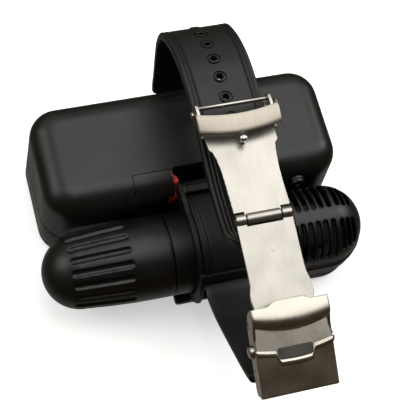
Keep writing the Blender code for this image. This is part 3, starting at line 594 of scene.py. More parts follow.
def housing_front():
    body = case_solid("front_housing", 0.0, SEAM_Z - SEAM_GAP / 2)
    levels = [(-0.5, 38.6, 13.6, 3.4), (0.2, 38.0, 13.0, 2.9), (1.4, 37.0, 12.0, 2.0),
            (3.0, 37.0, 12.0, 2.0)]
    opening = loose("opening_tool", skin([[(x, y, z) for x, y in rounded(a, b, c, 8)]
            for z, a, b, c in levels]))
    bore = [(-1, 0), (-1, 3.1), (0.0, 2.9), (0.5, 2.7), (1.9, 2.7), (1.9, 1.3), (14, 1.3), (14, 0)]
    recess = [(-1, 0), (-1, 4.6), (0.0, 4.3), (0.5, 3.6), (3.0, 3.5), (3.0, 0)]
    tools = [opening, tube_cutter(TUBE_R + TUBE_CLEAR)]
    for sx in (-1, 1):
        for sy in (-1, 1):
            tools.append(loose("bore_tool", upright(bore), (sx * SCREW_X, sy * SCREW_Y, 0)))
        tools.append(loose("key_tool", upright(recess), (sx * KEY_X, 0, 0)))
    cut(body, *tools, hollow(2.2, SEAM_Z + 1))
    stand(body, case_black, "housing", "black_plastic", "front_shell", sharp=30.0)


def case_screws():
    """Four cross-slotted screws in the front's counterbores."""
    for i, (x, y) in enumerate([(x, y) for x in (-SCREW_X, SCREW_X) for y in (-SCREW_Y, SCREW_Y)]):
        screw = loose(f"screw_{i + 1}", upright([(0.45, 0), (0.4, 1.6), (0.65, 2.2), (1.0, 2.35),
                (1.6, 2.35), (1.6, 1.0), (22.0, 1.0), (22.4, 0.6), (22.4, 0)], 32), (x, y, 0))
        blades = row_of("driver_slots", box("blade_tool", (-0.25, 0.25), (-1.5, 1.5), (-0.2, 1.3)), 1,
                first=(x, y, 0))
        cross = box("blade_tool", (x - 1.5, x + 1.5), (y - 0.25, y + 0.25), (-0.2, 1.3))
        cut(screw, blades, cross)
        stand(screw, screw_steel, "housing", "steel", f"case_screw_{i + 1}", sharp=30.0)


def control_keys():
    for side, x in (("left", -KEY_X), ("right", KEY_X)):
        key = loose(f"{side}_key", upright([(0.55, 0), (0.6, 1.4), (0.8, 2.3), (1.1, 2.9), (1.5, 3.2),
                (2.6, 3.2), (2.6, 4.2), (3.6, 4.2), (3.6, 0)], 48), (x, 0, 0))
        ridges = row_of("key_ridges", box("ridge_tool", (-0.12, 0.12), (-1.6, 1.6), (0.2, 0.75)), 5,
                (0.6, 0, 0), (x - 1.2, 0, 0))
        cut(key, ridges)
        stand(key, key_grey, f"{side}_control", "grey_plastic", f"control_button_{side}", sharp=30.0)


# ------------------------------------------------------------------ battery tube and cap
def battery_tube():
    barrel = turned([(23.6, 0), (23.6, 14.2), (23.1, 14.7), (8.0, 14.7), (-13.6, 14.7), (-14.0, 14.3),
            (-14.0, 11.8), (-33.0, 11.8), (-33.0, 9.4), (19.6, 9.4), (19.6, 0)], 96)
    tube = loose("tube_barrel", barrel, TUBE_LINE)
    stand(tube, tube_black, "housing", "black_plastic", "battery_tube", sharp=30.0)


def cap_radius(x):
    """The cap's radius at a place along the tube."""
    centre = CAP_TIP + CAP_TIP_R
    if x < centre:
        return sqrt(max(CAP_TIP_R ** 2 - (centre - x) ** 2, 0.0))
    for (x0, r0), (x1, r1) in zip(CAP_TAPER, CAP_TAPER[1:]):
        if x <= x1:
            return r0 + (r1 - r0) * (x - x0) / (x1 - x0)
    return CAP_TAPER[-1][1]


def battery_cap():
    """The domed screw cap and its ring of finger flutes."""
    end = dome(CAP_TIP + CAP_TIP_R, CAP_TIP_R, -1, 24)
    profile = end + CAP_TAPER[1:] + [(-14.3, 14.35), (-14.3, 12.15), (-35.2, 12.15), (-35.2, 9.7),
            (-50.0, 9.7), (-50.0, 0)]
    cap = loose("screw_cap", turned(profile, 96))
    flute_half, sink, steps = 1.35, 0.45, 40
    first, last = -49.6, -28.0
    rows = []
    for i in range(steps + 1):
        x = first + (last - first) * (1 - cos(pi * i / steps)) / 2
        near = min(x - first, last - x)
        r = flute_half * sqrt(max(1 - max(1 - near / flute_half, 0.0) ** 2, 0.0)) + 0.01
        rows.append([(x, r * sin(a), cap_radius(x) + sink + r * cos(a))
                for a in [2 * pi * j / 16 for j in range(16)]])
    tool = loose("flute_tool", skin(rows, split=True))
    flutes = row_of("flutes_tool", tool, 18, turn=radians(5.0), turn_step=radians(20.0))
    cut(cap, flutes)
    soften(cap, 0.32, 3)
    cap.data.transform(Matrix.Translation(TUBE_LINE))
    stand(cap, tube_black, "cap", "black_plastic", "battery_cap", sharp=60.0)


# ------------------------------------------------------------------ sensor cage
def arc_slot(width, start, end, inner=8.0, outer=19.0, steps=22):
    """A slot cutter that follows the tube's round between two angles, its ends rounded."""
    half, middle = width / 2, CAGE_R
    length = radians(abs(end - start)) * middle
    rows = []
    for i in range(steps + 1):
        t = i / steps
        s = length * (1 - cos(pi * t)) / 2
        near = min(s, length - s)
        w = half * sqrt(max(1 - max(1 - near / half, 0.0) ** 2, 0.0)) + 0.02
        a = radians(start) + radians(end - start) * s / length
        rows.append([(x, r * sin(a), r * cos(a)) for x, r in ((-w, inner), (w, inner), (w, outer),
                (-w, outer))])
    return loose("slot_tool", skin(rows))


def cage_section(radius, drop):
    """Half round over a straight skirt that ends a little below the tube's middle."""
    return arc((0.0, 0.0), radius, 90, -90, 40) + [(-radius, -drop), (radius, -drop)]


def cage_shell(name, radius, start, drop):
    """The round end of the cage: the same section drawn along X and closed by a quarter-turn dome."""
    tip = CAGE_TIP - CAGE_R
    rows = [[(start, y, z) for y, z in cage_section(radius, drop)]]
    for i in range(0, 19):
        a = pi / 2 * i / 18
        r = max(radius * cos(a), 0.02)
        rows.append([(tip + radius * sin(a), y * r / radius, z if z < 0 else z * r / radius)
                for y, z in cage_section(radius, drop)])
    return loose(name, skin(rows), TUBE_LINE)


def sensor_cage():
    drop = TUBE_Z - CAGE_FLOOR
    cage = cage_shell("slotted_cage", CAGE_R, CAGE_START, drop)
    cut(cage, cage_shell("inside_tool", CAGE_R - 1.8, CAGE_START - 1, drop + 1))
    slots = []
    for count, first, pitch, low, high in ((7, 27.2, 2.83, (-15, -77), (4, 66)),
            (3, 47.6, 2.35, (-17, -68), (5, 56))):
        for start, end in (low, high):
            slots.append(row_of("slots_tool", arc_slot(1.7, start, end), count, (pitch, 0, 0),
                    (first, TUBE_Y, TUBE_Z)))
    cut(cage, *slots)
    soften(cage, 0.3, 2)
    stand(cage, tube_black, "housing", "black_plastic", "sensor_cage", sharp=60.0)


def cage_rim():
    """Two fine beads round the cage's lower edge, and the tray under it."""
    tip = CAGE_TIP - CAGE_R
    for i, (z, radius, bead) in enumerate(((16.6, 14.35, 0.55), (14.6, 14.35, 0.55))):
        plan = [(CAGE_START, -radius)] + [(tip + radius * sin(pi * j / 40), -radius * cos(pi * j / 40))
                for j in range(41)]
        plan += [(CAGE_START, radius)]
        rows = []
        for j, (x, y) in enumerate(plan):
            before, after = Vector(plan[max(j - 1, 0)]), Vector(plan[min(j + 1, len(plan) - 1)])
            along = (after - before).normalized()
            out = Vector((along.y, -along.x))
            rows.append([(x + out.x * bead * cos(a), TUBE_Y + y + out.y * bead * cos(a),
                    z + bead * sin(a)) for a in [2 * pi * k / 12 for k in range(12)]])
        stand(loose(f"cage_bead_{i + 1}", skin(rows)), tube_black, "housing", "black_plastic")
    outline = [(CAGE_START, -13.3)] + [(tip + 13.3 * sin(pi * j / 36), -13.3 * cos(pi * j / 36))
            for j in range(37)]
    outline += [(CAGE_START, 13.3)]
    levels = [(0.0, 0.94), (0.5, 0.97), (1.2, 1.0), (8.5, 1.0)]
    rows = [[(tip + (x - tip) * k if x > CAGE_START + 0.1 else x, TUBE_Y + y * k, z) for x, y in outline]
            for z, k in levels]
    stand(loose("sensor_base", skin(rows)), inner_black, "housing", "black_plastic", "sensor_tray")


def sensor_parts():
    body = turned([(26.2, 0), (26.2, 7.0), (26.8, 7.8), (29.0, 8.2), (33.0, 8.2), (33.3, 7.7),
            (34.3, 7.7), (34.6, 8.2), (43.5, 8.2), (44.6, 7.2), (45.0, 5.0), (44.2, 4.6), (44.2, 0)], 64)
    stand(loose("depth_cell", body, TUBE_LINE), sensor_grey, "housing", "sensor_grey", "depth_sensor",
            sharp=30.0)
    post = upright([(CAGE_FLOOR, 0), (CAGE_FLOOR, 4.0), (10.0, 3.7), (TUBE_Z - 8.7, 3.7),
            (TUBE_Z - 8.7, 0)], 32)
    stand(loose("sensor_stem", post, (35.6, TUBE_Y, 0)), inner_black, "housing", "black_plastic",
            "sensor_post", sharp=30.0)


def cable_gland():
    boss = turned([(-1.1, 0), (-1.1, 2.6), (-0.4, 2.6), (-0.2, 2.25), (0.2, 2.25), (0.4, 2.6), (0.8, 2.6),
            (1.1, 2.2), (1.1, 1.3), (0.5, 1.1), (0.5, 0)], 40)
    bmesh.ops.rotate(boss, verts=boss.verts, cent=(0, 0, 0), matrix=Matrix.Rotation(-pi / 2, 3, "Z"))
    stand(loose("gland_boss", boss, middle_of("cable_gland")), case_black, "housing", "black_plastic",
            "cable_gland", sharp=30.0)


# ------------------------------------------------------------------ strap bracket and catch
def strap_bracket():
    """Two rims over the tube, tied by an upper and a lower bar, on a foot plate."""
    centre, left, right, wide = (TUBE_Y, TUBE_Z), STRAP_X - 13.8, STRAP_X + 12.3, 1.5
    outer, inner = arc(centre, 19.3, 20, -100, 40), arc(centre, 15.15, -100, 48, 48)
    outline = [(-16.6, 33.2), (-17.0, 35.4), (-23.0, 36.8)] + outer + inner + [(-20.0, 31.2)]
    bracket = loose("strap_saddle", prism(outline, left, left + wide))
    span = (left + 0.1, right + wide - 0.1)
    lower = arc(centre, 20.3, -50, -60, 4) + arc(centre, 18.7, -60, -50, 4)
    side = arc(centre, 19.3, -88, -100, 4) + [(-48.5, 3.0), (-44.0, 3.0)] + arc(centre, 15.15, -125, -90, 6)
    legs = [loose("leg_tool", prism(side, x + 0.05, x + wide - 0.05)) for x in (left, right)]
    foot = box("foot_tool", (left - 4.5, right + 5.0), (-49.0, -26.0), (0.0, 3.8), 1.2)
    join(bracket, loose("rim_tool", prism(outline, right, right + wide)),
            box("bar_tool", span, (-20.9, -18.1), (33.5, 35.3), 0.3),
            loose("bar_tool", prism(lower, *span)), foot, *legs)
    soften(bracket, 0.3, 2)
    stand(bracket, bracket_black, "housing", "black_plastic", "strap_bracket", sharp=60.0)


def release_catch():
    """A red slide in the notch's wall, with a ribbed, rounded finger tab."""
    catch = box("catch_key", (-10.4, -7.7), (-20.2, -17.3), (26.5, 31.6), 0.3)
    plan = [(-10.2, -16.3), (-7.4, -16.3), (-6.4, -15.9), (-6.3, -15.2), (-6.5, -14.2), (-7.1, -13.2),
            (-7.9, -12.6), (-10.2, -12.6)]
    tab = loose("tab_tool", skin([[(x, y, z) for x, y in plan] for z in (29.5, 34.6)]))
    join(catch, box("bridge_tool", (-10.3, -8.6), (-17.4, -13.0), (26.6, 34.5)), round_edges(tab, 0.25, 3))
    ridges = row_of("ridges_tool", box("ridge_tool", (-0.6, 0.25), (-2.2, 2.2), (-0.15, 0.15)), 4,
            (0, 0, 0.9), (-6.5, -14.6, 30.6))
    cut(catch, ridges)
    stand(catch, catch_red, "catch", "red_plastic", "release_catch", sharp=30.0)


# ------------------------------------------------------------------ straps
STRAP_A_LINE = [(18.0, 28.5), (22.5, 27.6), (24.6, 31.0), (25.4, 36.0), (26.8, 43.0), (28.0, 49.0),
        (28.4, 54.0), (27.4, 59.5), (24.8, 63.6), (19.8, 67.7), (13.8, 71.1), (6.6, 73.4), (0.0, 74.0),
        (-7.0, 74.0), (-14.0, 73.4), (-20.9, 71.7), (-30.0, 69.4), (-37.0, 68.4), (-47.5, 68.6),
        (-56.0, 70.4), (-61.0, 72.0)]
STRAP_B_LINE = [(-52.0, 26.5), (-57.2, 26.2), (-65.6, 29.9), (-77.4, 38.1), (-90.5, 47.9), (-96.5, 54.5),
        (-98.8, 58.2)]
HOLE_COUNT, HOLE_PITCH, LAST_HOLE_Y = 8, 7.3, -21.5
BEADS = ((1.7, 0.45), (3.0, 0.45))  # the grooves' distance in from the strap's edge, and their depth


def relief(depth_in, edge=0.9):
    """How far the strap's face lies below its plain surface, from the distance to its edge."""
    drop = rolled(depth_in, edge)
    for where, deep in BEADS:
        drop += deep * max(0.0, 1 - abs(depth_in - where) / 0.45) ** 0.8
    if depth_in > BEADS[-1][0]:
        drop += 0.10
    return drop


def edge_distance(x, left, half, corner):
    """Distance to the outline of a strap of this half width whose end, left ahead, has rounded corners."""
    qx, qs = abs(x) - (half - corner), corner - left
    if qx > 0 or qs > 0:
        return corner - hypot(max(qx, 0.0), max(qs, 0.0))
    return corner - max(qx, qs)


def bordered_band(name, line, half, thick, tail=0.0, columns=150, neck=None, outer=1):
    """A strap along a (y, z) line, its grooved borders running round its tail, on the side outer says."""
    path, normals, length = smooth_path(line, 0.5)
    normals = [n * outer for n in normals]
    stations = [length * i / (len(path) - 1) for i in range(len(path))]
    if tail:
        fine = 12.0
        count = int(fine / 0.16)
        stations = [s for s in stations if s < length - fine] + [length - fine
                + fine * sin(pi / 2 * i / count) for i in range(count + 1)]
    rows = []
    for s in stations:
        f = min(s / length * (len(path) - 1), len(path) - 1.001)
        k = int(f)
        p, n = path[k].lerp(path[k + 1], f - k), normals[k].lerp(normals[k + 1], f - k).normalized()
        left = length - s
        w = half
        if tail and left < tail:
            w = half - rolled(left, tail) + 0.05
        if neck:
            w = min(w, neck(s, left))
        row = []
        for i in range(columns + 1):
            x = w * (2 * i / columns - 1)
            near = edge_distance(x, left, w, tail) if tail and left < tail + half else w - abs(x)
            row.append((x, thick / 2 - relief(max(near, 0.0))))
        under = 14
        for i in range(under + 1):
            t = 1 - 2 * i / under
            x = w * (abs(t) ** 0.7) * (1 if t > 0 else -1)
            near = w - abs(x)
            row.append((x * 0.999, -thick / 2 + rolled(near, STRAP_UNDER_ROUND)))
        rows.append([(STRAP_X + x, p.x + n.x * h, p.y + n.y * h) for x, h in row])
    return loose(name, skin(rows))


def upper_strap():
    """The long strap from the housing's far notch, with its row of ringed holes."""
    def narrow(s, _left):
        return STRAP_NECK if s < 5.2 else min(STRAP_HALF, STRAP_NECK + (s - 5.2) * 1.6)

    strap = bordered_band("upper_strap_band", STRAP_A_LINE, STRAP_HALF, STRAP_THICK, 10.0, neck=narrow,
            outer=-1)
    place = (STRAP_X, 18.0, 28.5)
    join(strap, round_bar("lug_tool", [(10.35, 0), (10.35, 2.2), (10.0, 2.55)], place, 40))
    path, normals, _ = smooth_path(STRAP_A_LINE, 0.4)
    last = min(range(len(path)), key=lambda i: hypot(path[i].x - LAST_HOLE_Y, path[i].y - 71.5))
    spots, tilts, tops = [], [], []
    for i in range(HOLE_COUNT):
        k = last - round(i * HOLE_PITCH / 0.4)
        p, out = path[k], -normals[k]
        face = p + out * (STRAP_THICK / 2 - 0.1)
        spots.append((STRAP_X, p.x, p.y))
        tops.append((STRAP_X, face.x, face.y))
        tilts.append(atan2(-out.x, out.y))
    hole = upright([(-4, 0), (-4, 1.15), (4, 1.15), (4, 0)], 24)
    holes = on_points("holes_tool", loose("hole_tool", hole), spots, tilts, strap_rubber)
    groove = upright([(-0.55, 1.85), (0.5, 1.75), (0.5, 2.45), (-0.55, 2.25)], 32)
    grooves = on_points("grooves_tool", loose("groove_tool", groove), tops, tilts, strap_rubber)
    cut(strap, holes, grooves, round_bar("bore_tool", [(12, 0), (12, 1.2)], place, 24))
    stand(strap, strap_rubber, "upper_strap", "rubber", "strap_a")
    ring = upright([(-0.25, 1.12), (0.12, 1.12), (0.28, 1.28), (0.28, 1.52), (0.12, 1.76), (-0.25, 1.78)],
            32)
    rings = on_points("hole_rings", loose("ring_tool", ring), tops, tilts, strap_rubber)
    stand(rings, strap_rubber, "upper_strap", "rubber")


def lower_strap():
    """The short strap: one part fixed over the tube, the other free to swing from the lower bar."""
    middle = TUBE_R + 0.3 + 0.15 + STRAP_THICK / 2
    over = [(-15.0, 29.0), (-19.5, 30.6), (-26.8, 33.9)]
    over += arc((TUBE_Y, TUBE_Z), middle, 5, -60, 6) + [(-50.9, 28.4)]

    def fixed_neck(s, _left):
        return STRAP_NECK if s < 1.0 else STRAP_HALF

    def free_neck(_s, left):
        return 10.0 if left < 6.0 else min(STRAP_HALF, 10.0 + (left - 6.0) * 1.5)

    fixed = bordered_band("strap_over_tube", over, STRAP_HALF, STRAP_THICK, neck=fixed_neck, outer=-1)
    stand(fixed, strap_rubber, "housing", "rubber", "strap_b_inner")
    free = bordered_band("lower_strap_band", STRAP_B_LINE, STRAP_HALF, STRAP_THICK, neck=free_neck)
    stand(free, strap_rubber, "lower_strap", "rubber", "strap_b")


# ------------------------------------------------------------------ clasp
def sheet_strip(name, edges, height, thick, columns=40, segments=60):
    """A thin plate between two edge lines, each given as (y, x) pairs; height lifts any (x, y)."""
    def reach(line, y):
        for (y0, x0), (y1, x1) in zip(line, line[1:]):
            if min(y0, y1) <= y <= max(y0, y1):
                t = (y - y0) / (y1 - y0) if y1 != y0 else 0.0
                return x0 + (x1 - x0) * t
        return line[-1][1]
    left, right = edges
    ys = sorted({round(left[0][0] + (left[-1][0] - left[0][0]) * i / segments, 3)
            for i in range(segments + 1)} | {round(y, 3) for y, _ in left + right
            if left[-1][0] <= y <= left[0][0]}, reverse=True)
    rows = []
    for y in ys:
        x0, x1 = reach(left, y), reach(right, y)
        xs = [x0 + (x1 - x0) * i / columns for i in range(columns + 1)]
        rows.append([(x, y, height(x, y)) for x in xs] + [(x, y, height(x, y) - thick)
                for x in reversed(xs)])
    return loose(name, skin(rows))


BLADE_1_LEFT = [(-11.2, -5.3), (-20.9, -5.1), (-26.4, -4.7), (-27.5, -3.7), (-30.5, -3.1), (-34.9, -2.7),
        (-41.1, -2.7), (-48.4, -2.7), (-50.4, -2.7)]
BLADE_1_RIGHT = [(-11.2, 18.3), (-21.2, 18.2), (-26.3, 18.2), (-27.6, 17.0), (-31.3, 16.4), (-36.0, 15.9),
        (-41.1, 15.7), (-49.2, 15.7), (-50.4, 15.7)]


def blade_1():
    """The upper blade: shouldered where the bail sits, narrowed to its hinge, and crowned a little."""
    def crown(x, _y):
        return BLADE_Z + SHEET_THICK / 2 - BLADE_CROWN * (x - STRAP_X) ** 2

    blade = sheet_strip("upper_blade", (BLADE_1_LEFT, BLADE_1_RIGHT), crown, SHEET_THICK)
    hinge = (STRAP_X, *CLASP_HINGE)
    gaps = [box("gap_tool", sorted((STRAP_X + side * 5.9, STRAP_X + side * 12.0)), (-56, -49.2), (70, 85))
            for side in (-1, 1)]
    cut(blade, *gaps, box("window_tool", (STRAP_X - 10.9, STRAP_X + 10.9), (-17.6, -10.0), (76.0, 80.0)))
    round_edges(blade, EDGE_SOFT, 2)
    join(blade, knuckle(-5.6, 5.6, KNUCKLE_R, hinge))
    cut(blade, round_bar("bore_tool", [(6, 0), (6, PIN_BORE_R)], hinge, 24))
    ears = []
    for side in (-1, 1):
        x = STRAP_X + side * 12.2
        outline = [(-10.5, 77.4), (-22.2, 77.4), (-22.2, 78.8), (-19.5, 80.0), (-16.5, 81.6),
                (-14.5, 82.0), (-12.0, 81.6), (-10.8, 80.2)]
        ears.append(loose("ear_tool", prism(outline, x - 0.45, x + 0.45)))
    join(blade, *ears)
    stand(blade, blade_steel, "upper_strap", "steel", "clasp_blade_1", sharp=32.0)
    prong = upright([(70.1, 0), (70.2, 0.4), (70.8, 0.6), (BLADE_Z, 0.6), (BLADE_Z, 0)], 24)
    stand(loose("strap_prong", prong, (STRAP_X, LAST_HOLE_Y, 0)), pin_steel, "upper_strap", "steel")


def blade_1_fittings():
    stud = upright([(-1.8, 0), (-1.8, 1.0), (-1.5, 0.85), (0.2, 0.8), (0.5, 1.0), (0.7, 1.25), (1.2, 1.3),
            (1.6, 1.0), (1.8, 0.5), (1.85, 0)], 36)
    stand(loose("closing_stud", stud, middle_of("latch_stud")), lip_steel, "upper_strap", "steel",
            "latch_stud", sharp=50.0)
    low, high = (Vector(c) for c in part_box("buckle_bar"))
    half = (high.x - low.x) / MM / 2 + 0.4
    rod = round_bar("buckle_rod", [(half, 0), (half, 0.5), (half - 0.3, 0.72)], middle_of("buckle_bar"))
    stand(rod, pin_steel, "upper_strap", "steel", "buckle_bar", sharp=40.0)
    for side, name in ((-1, "bail_rivet_left"), (1, "bail_rivet_right")):
        x = STRAP_X + side * 12.1
        head = turned([(0, 0), (0, 0.75), (1.7, 0.75), (1.7, 1.25), (2.1, 1.2), (2.3, 0.8), (2.35, 0)], 32)
        bmesh.ops.transform(head, verts=head.verts, matrix=Matrix.Scale(side, 4, (1, 0, 0)))
        stand(loose(name.replace("bail", "hinge"), head, (x, *BAIL_PIVOT)), pin_steel, "upper_strap",
                "steel", name, sharp=50.0)
    half = 9.15
    pin = round_bar("blade_pin", [(half, 0), (half, 0.7), (half - 0.25, 0.9)], (STRAP_X, *CLASP_HINGE))
    stand(pin, pin_steel, "upper_strap", "steel", "clasp_pin", sharp=50.0)


def safety_bail():
    """The bowed plate that crosses the strap, and its two side arms."""
    half, steps = 13.7, 48
    section = [(-1.6, 3.5), (-3.2, 3.24), (-4.8, 2.92), (-6.4, 2.48), (-7.2, 2.22), (-7.6, 1.95),
            (-7.7, 1.6), (-7.5, 1.25), (-7.1, 1.3), (-6.2, 1.65), (-4.6, 2.12), (-3.2, 2.46), (-1.6, 2.72)]
    rows = []
    for i in range(steps + 1):
        u = 2 * i / steps - 1
        bow = 2.0 * (1 - u * u)
        rows.append([(STRAP_X + u * half, BAIL_PIVOT[0] + y - bow, BAIL_PIVOT[1] + z + bow * 0.3)
                for y, z in section])
    bail = loose("closing_bail", skin(rows))
    round_edges(bail, 0.12, 2, 60)
    arms = []
    for side in (-1, 1):
        outline = [(-6.6, 1.3), (-4.8, 2.8), (-2.5, 3.4), (-0.6, 2.2), (1.0, 1.4), (1.6, 0.5),
                (1.6, -0.5), (1.0, -1.4), (-1.0, -1.5), (-4.0, -0.9), (-6.4, 0.4)]
        x0, x1 = sorted((STRAP_X + side * half, STRAP_X + side * (half - 0.8)))
        arm = prism([(y + BAIL_PIVOT[0], z + BAIL_PIVOT[1]) for y, z in outline], x0 - 0.02, x1 + 0.02)
        arms.append(round_edges(loose("arm_tool", arm), 0.15))
    join(bail, *arms)
    stand(bail, bail_steel, "bail", "steel", "safety_bail", sharp=35.0)


def blade_2():
    """The middle blade, with a small dimple, flared where it meets the cover."""
    reach = Vector(COVER_HINGE) - Vector(CLASP_HINGE)
    slope = reach.y / reach.x

    def face(x, y):
        z = CLASP_HINGE[1] + (y - CLASP_HINGE[0]) * slope + SHEET_THICK / 2
        z -= BLADE_CROWN * (x - STRAP_X) ** 2
        spot = hypot(x - STRAP_X - 0.2, y + 62.0)
        return z + 0.10 * max(0.0, 1 - spot / 1.2) ** 2

    left = [(-53.0, -2.7), (-60.0, -2.7), (-68.0, -2.7), (-72.0, -2.8), (-74.5, -3.5), (-76.5, -3.6),
            (-82.0, -2.7)]
    right = [(-53.0, 15.7), (-60.0, 15.7), (-68.0, 15.7), (-71.0, 15.9), (-73.5, 16.7), (-76.5, 16.9),
            (-82.0, 15.7)]
    blade = sheet_strip("middle_blade_plate", (left, right), face, SHEET_THICK, 60, 80)
    gap = box("gap_tool", (STRAP_X - 5.9, STRAP_X + 5.9), (-53.9, -47.5), (70, 85), 0.1)
    cut(blade, gap)
    round_edges(blade, EDGE_SOFT, 2)
    knuckles = []
    for side in (-1, 1):
        x0, x1 = sorted((side * 5.9, side * 9.2))
        knuckles.append(knuckle(x0, x1, KNUCKLE_R, (STRAP_X, *CLASP_HINGE)))
    knuckles.append(knuckle(-9.2, 9.2, 1.8, (STRAP_X, *COVER_HINGE)))
    join(blade, *knuckles)
    bores = [round_bar("bore_tool", [(10, 0), (10, PIN_BORE_R)], (STRAP_X, *place), 24)
            for place in (CLASP_HINGE, COVER_HINGE)]
    cut(blade, *bores)
    stand(blade, blade_steel, "middle_blade", "steel", "clasp_blade_2", sharp=32.0)


def ease(t):
    t = min(max(t, 0.0), 1.0)
    return t * t * (3 - 2 * t)


def cover_start(x):
    """Where the cover's stepped top edge lies, measured down its face."""
    return 0.2 - 1.5 * ease((x + 7.4) / 2.8) + 1.2 * ease((x - 5.0) / 2.2)


def crease(x):
    return 8.4 - 0.0165 * x * x + 0.03 * x


def lip_line(x):
    """The bowed lip's place, with a blunt tab in its middle."""
    bow = 15.5 - 0.0105 * x * x
    return bow + 2.7 * ease((6.5 - abs(x)) / 1.7)


HOOD_TOP, HOOD_BULGE = -1.3, 0.36  # the hood's highest edge, and the slope of its face there


def cover_face(x, s):
    """Height of the cover's face: hood, crease, sunk brushed band, raised lip and flat plate."""
    fold, lip = crease(x), lip_line(x)
    if s < fold:
        t = (s - HOOD_TOP) / (fold - HOOD_TOP)
        height = 0.22 + HOOD_BULGE * (fold - HOOD_TOP) * (t - t ** 5)
    else:
        height = min(0.1, -1.0 + 0.15 * (s - fold))
    height += ease((s - lip + 1.0) / 0.7) * (0.42 - (height if s > fold else 0.0)) if s > fold else 0.0
    if s > lip:
        height = 0.42 * (1 - ease((s - lip - 0.25) / 0.8))
    return height - rolled(COVER_HALF - abs(x), COVER_ROUND) - rolled(COVER_END - s, COVER_ROUND)


def on_cover(x, s, height):
    """A point of the cover's face in the housing's millimetres."""
    y, z = 5.7 - s, 3.8 + height
    return (STRAP_X + x, COVER_HINGE[0] + y * cos(COVER_TILT) - z * sin(COVER_TILT),
            COVER_HINGE[1] + y * sin(COVER_TILT) + z * cos(COVER_TILT))


def tilted(name, bm):
    """Carry a mesh drawn as (x, -down, height) onto the cover."""
    for v in bm.verts:
        v.co = on_cover(v.co.x, -v.co.y, v.co.z)
    return loose(name, bm)


def clasp_cover():
    columns, rows_down = 168, 220
    rows = []
    for j in range(rows_down + 1):
        over, under = [], []
        for i in range(columns + 1):
            across = 2 * i / columns - 1
            x = COVER_HALF * sin(pi / 2 * across) * 0.35 + COVER_HALF * across * 0.65
            top = cover_start(x)
            s = top + (COVER_END - top) * j / rows_down
            face = cover_face(x, s)
            over.append(on_cover(x, s, face))
            if i % 4 == 0:
                under.append(on_cover(x * 0.998, s, face - 0.8))
        rows.append(over + under[::-1])
    face = loose("cover_shell", skin(rows, split=True))
    edge_tools = []
    for side in (-1, 1):
        pts = [(0.6, 0.25), (3.0, 0.85), (5.5, 0.6), (8.0, -0.35), (12.0, -0.45), (20.0, -0.45),
                (27.4, -0.45), (28.0, -1.2), (28.0, -4.6), (27.2, -5.6), (26.2, -6.0), (9.0, -6.0),
                (6.0, -5.7), (3.2, -4.6), (1.4, -2.9), (0.6, -1.2)]
        rows = [[(side * x, -s, h) for s, h in pts] for x in (COVER_HALF - 0.02, COVER_HALF - 0.95)]
        edge_tools.append(round_edges(tilted("flange_tool", skin(rows)), 0.22, 2, 50))
    join(face, *edge_tools)
    holes = []
    for s, h, r in ((5.7, -3.8, 1.15), (24.8, -4.0, 0.45), (22.2, -4.0, 0.45), (19.6, -4.0, 0.45),
            (13.8, -4.0, 2.25)):
        bm = turned([(-20, 0), (-20, r), (20, r), (20, 0)], 32)
        bmesh.ops.translate(bm, vec=(0, -s, h), verts=bm.verts)
        holes.append(tilted("hole_tool", bm))
    cut(face, *holes)
    stand(face, cover_steel, "cover", "steel", "clasp_cover", sharp=34.0)

    # the textured pad in the middle tab
    half_x, top, bottom, rise = 5.7, 13.3, 16.7, 0.35
    outline = rounded(half_x, (bottom - top) / 2, 0.6, 5)
    rows = [[(x * k, y * k - (top + bottom) / 2, h) for x, y in outline]
            for k, h in ((1.0, -0.9), (1.0, rise - 0.12), (0.97, rise))]
    stand(tilted("cover_pad", skin(rows)), label_grey, "cover", "steel", sharp=30.0)


def cover_fittings():
    half = COVER_HALF - 0.1
    pin = round_bar("cover_hinge_pin", [(half, 0), (half, 0.85)], (STRAP_X, *COVER_HINGE))
    stand(pin, pin_steel, "cover", "steel", "cover_pin", sharp=40.0)
    end = [(half, 0), (half, 0.35), (10.6, 0.4), (10.5, 0.85)]
    stand(round_bar("strap_end_bar", end, middle_of("clasp_spring_bar")), pin_steel, "cover", "steel",
            "clasp_spring_bar", sharp=40.0)
    for side, name in ((-1, "left"), (1, "right")):
        head = turned([(0.3, 0), (0.3, 2.55), (0.8, 2.55), (0.8, 2.0), (2.6, 2.0), (3.0, 1.8), (3.3, 1.2),
                (3.4, 0)], 40)
        bmesh.ops.transform(head, verts=head.verts, matrix=Matrix.Scale(side, 4, (1, 0, 0)))
        bmesh.ops.translate(head, verts=head.verts, vec=(side * 10.6, -13.8, -4.0))
        stand(tilted(f"{name}_release", head), pin_steel, f"{name}_push_button", "steel",
                f"push_button_{name}", sharp=30.0)


# ------------------------------------------------------------------ small steel parts and what is inside
def far_bar():
    low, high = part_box("far_spring_bar")
    half = (high[0] - low[0]) / MM / 2
    end = [(half, 0), (half, 0.5), (half - 1.4, 0.5), (half - 1.5, 0.9)]
    stand(round_bar("far_end_bar", end, middle_of("far_spring_bar")), pin_steel, "housing", "steel",
            "far_spring_bar", sharp=30.0)


def finish_cad_nodes():
    """Nodes whose own shape is right keep it and get their real finish."""
    finishes = {"case_seal": strap_rubber, "window_gasket": strap_rubber, "window": window_glass,
            "display_module": display_black, "main_board": board_green, "buzzer": inner_black,
            "pressure_sensor": screw_steel, "coin_cell_holder": key_grey, "battery_cell": sleeve_blue,
            "contact_spring": contact_brass, "cap_seal": strap_rubber, "cap_contact": contact_brass}
    for name, finish in finishes.items():
        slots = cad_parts[name].material_slots
        for slot in slots:
            slot.material = finish


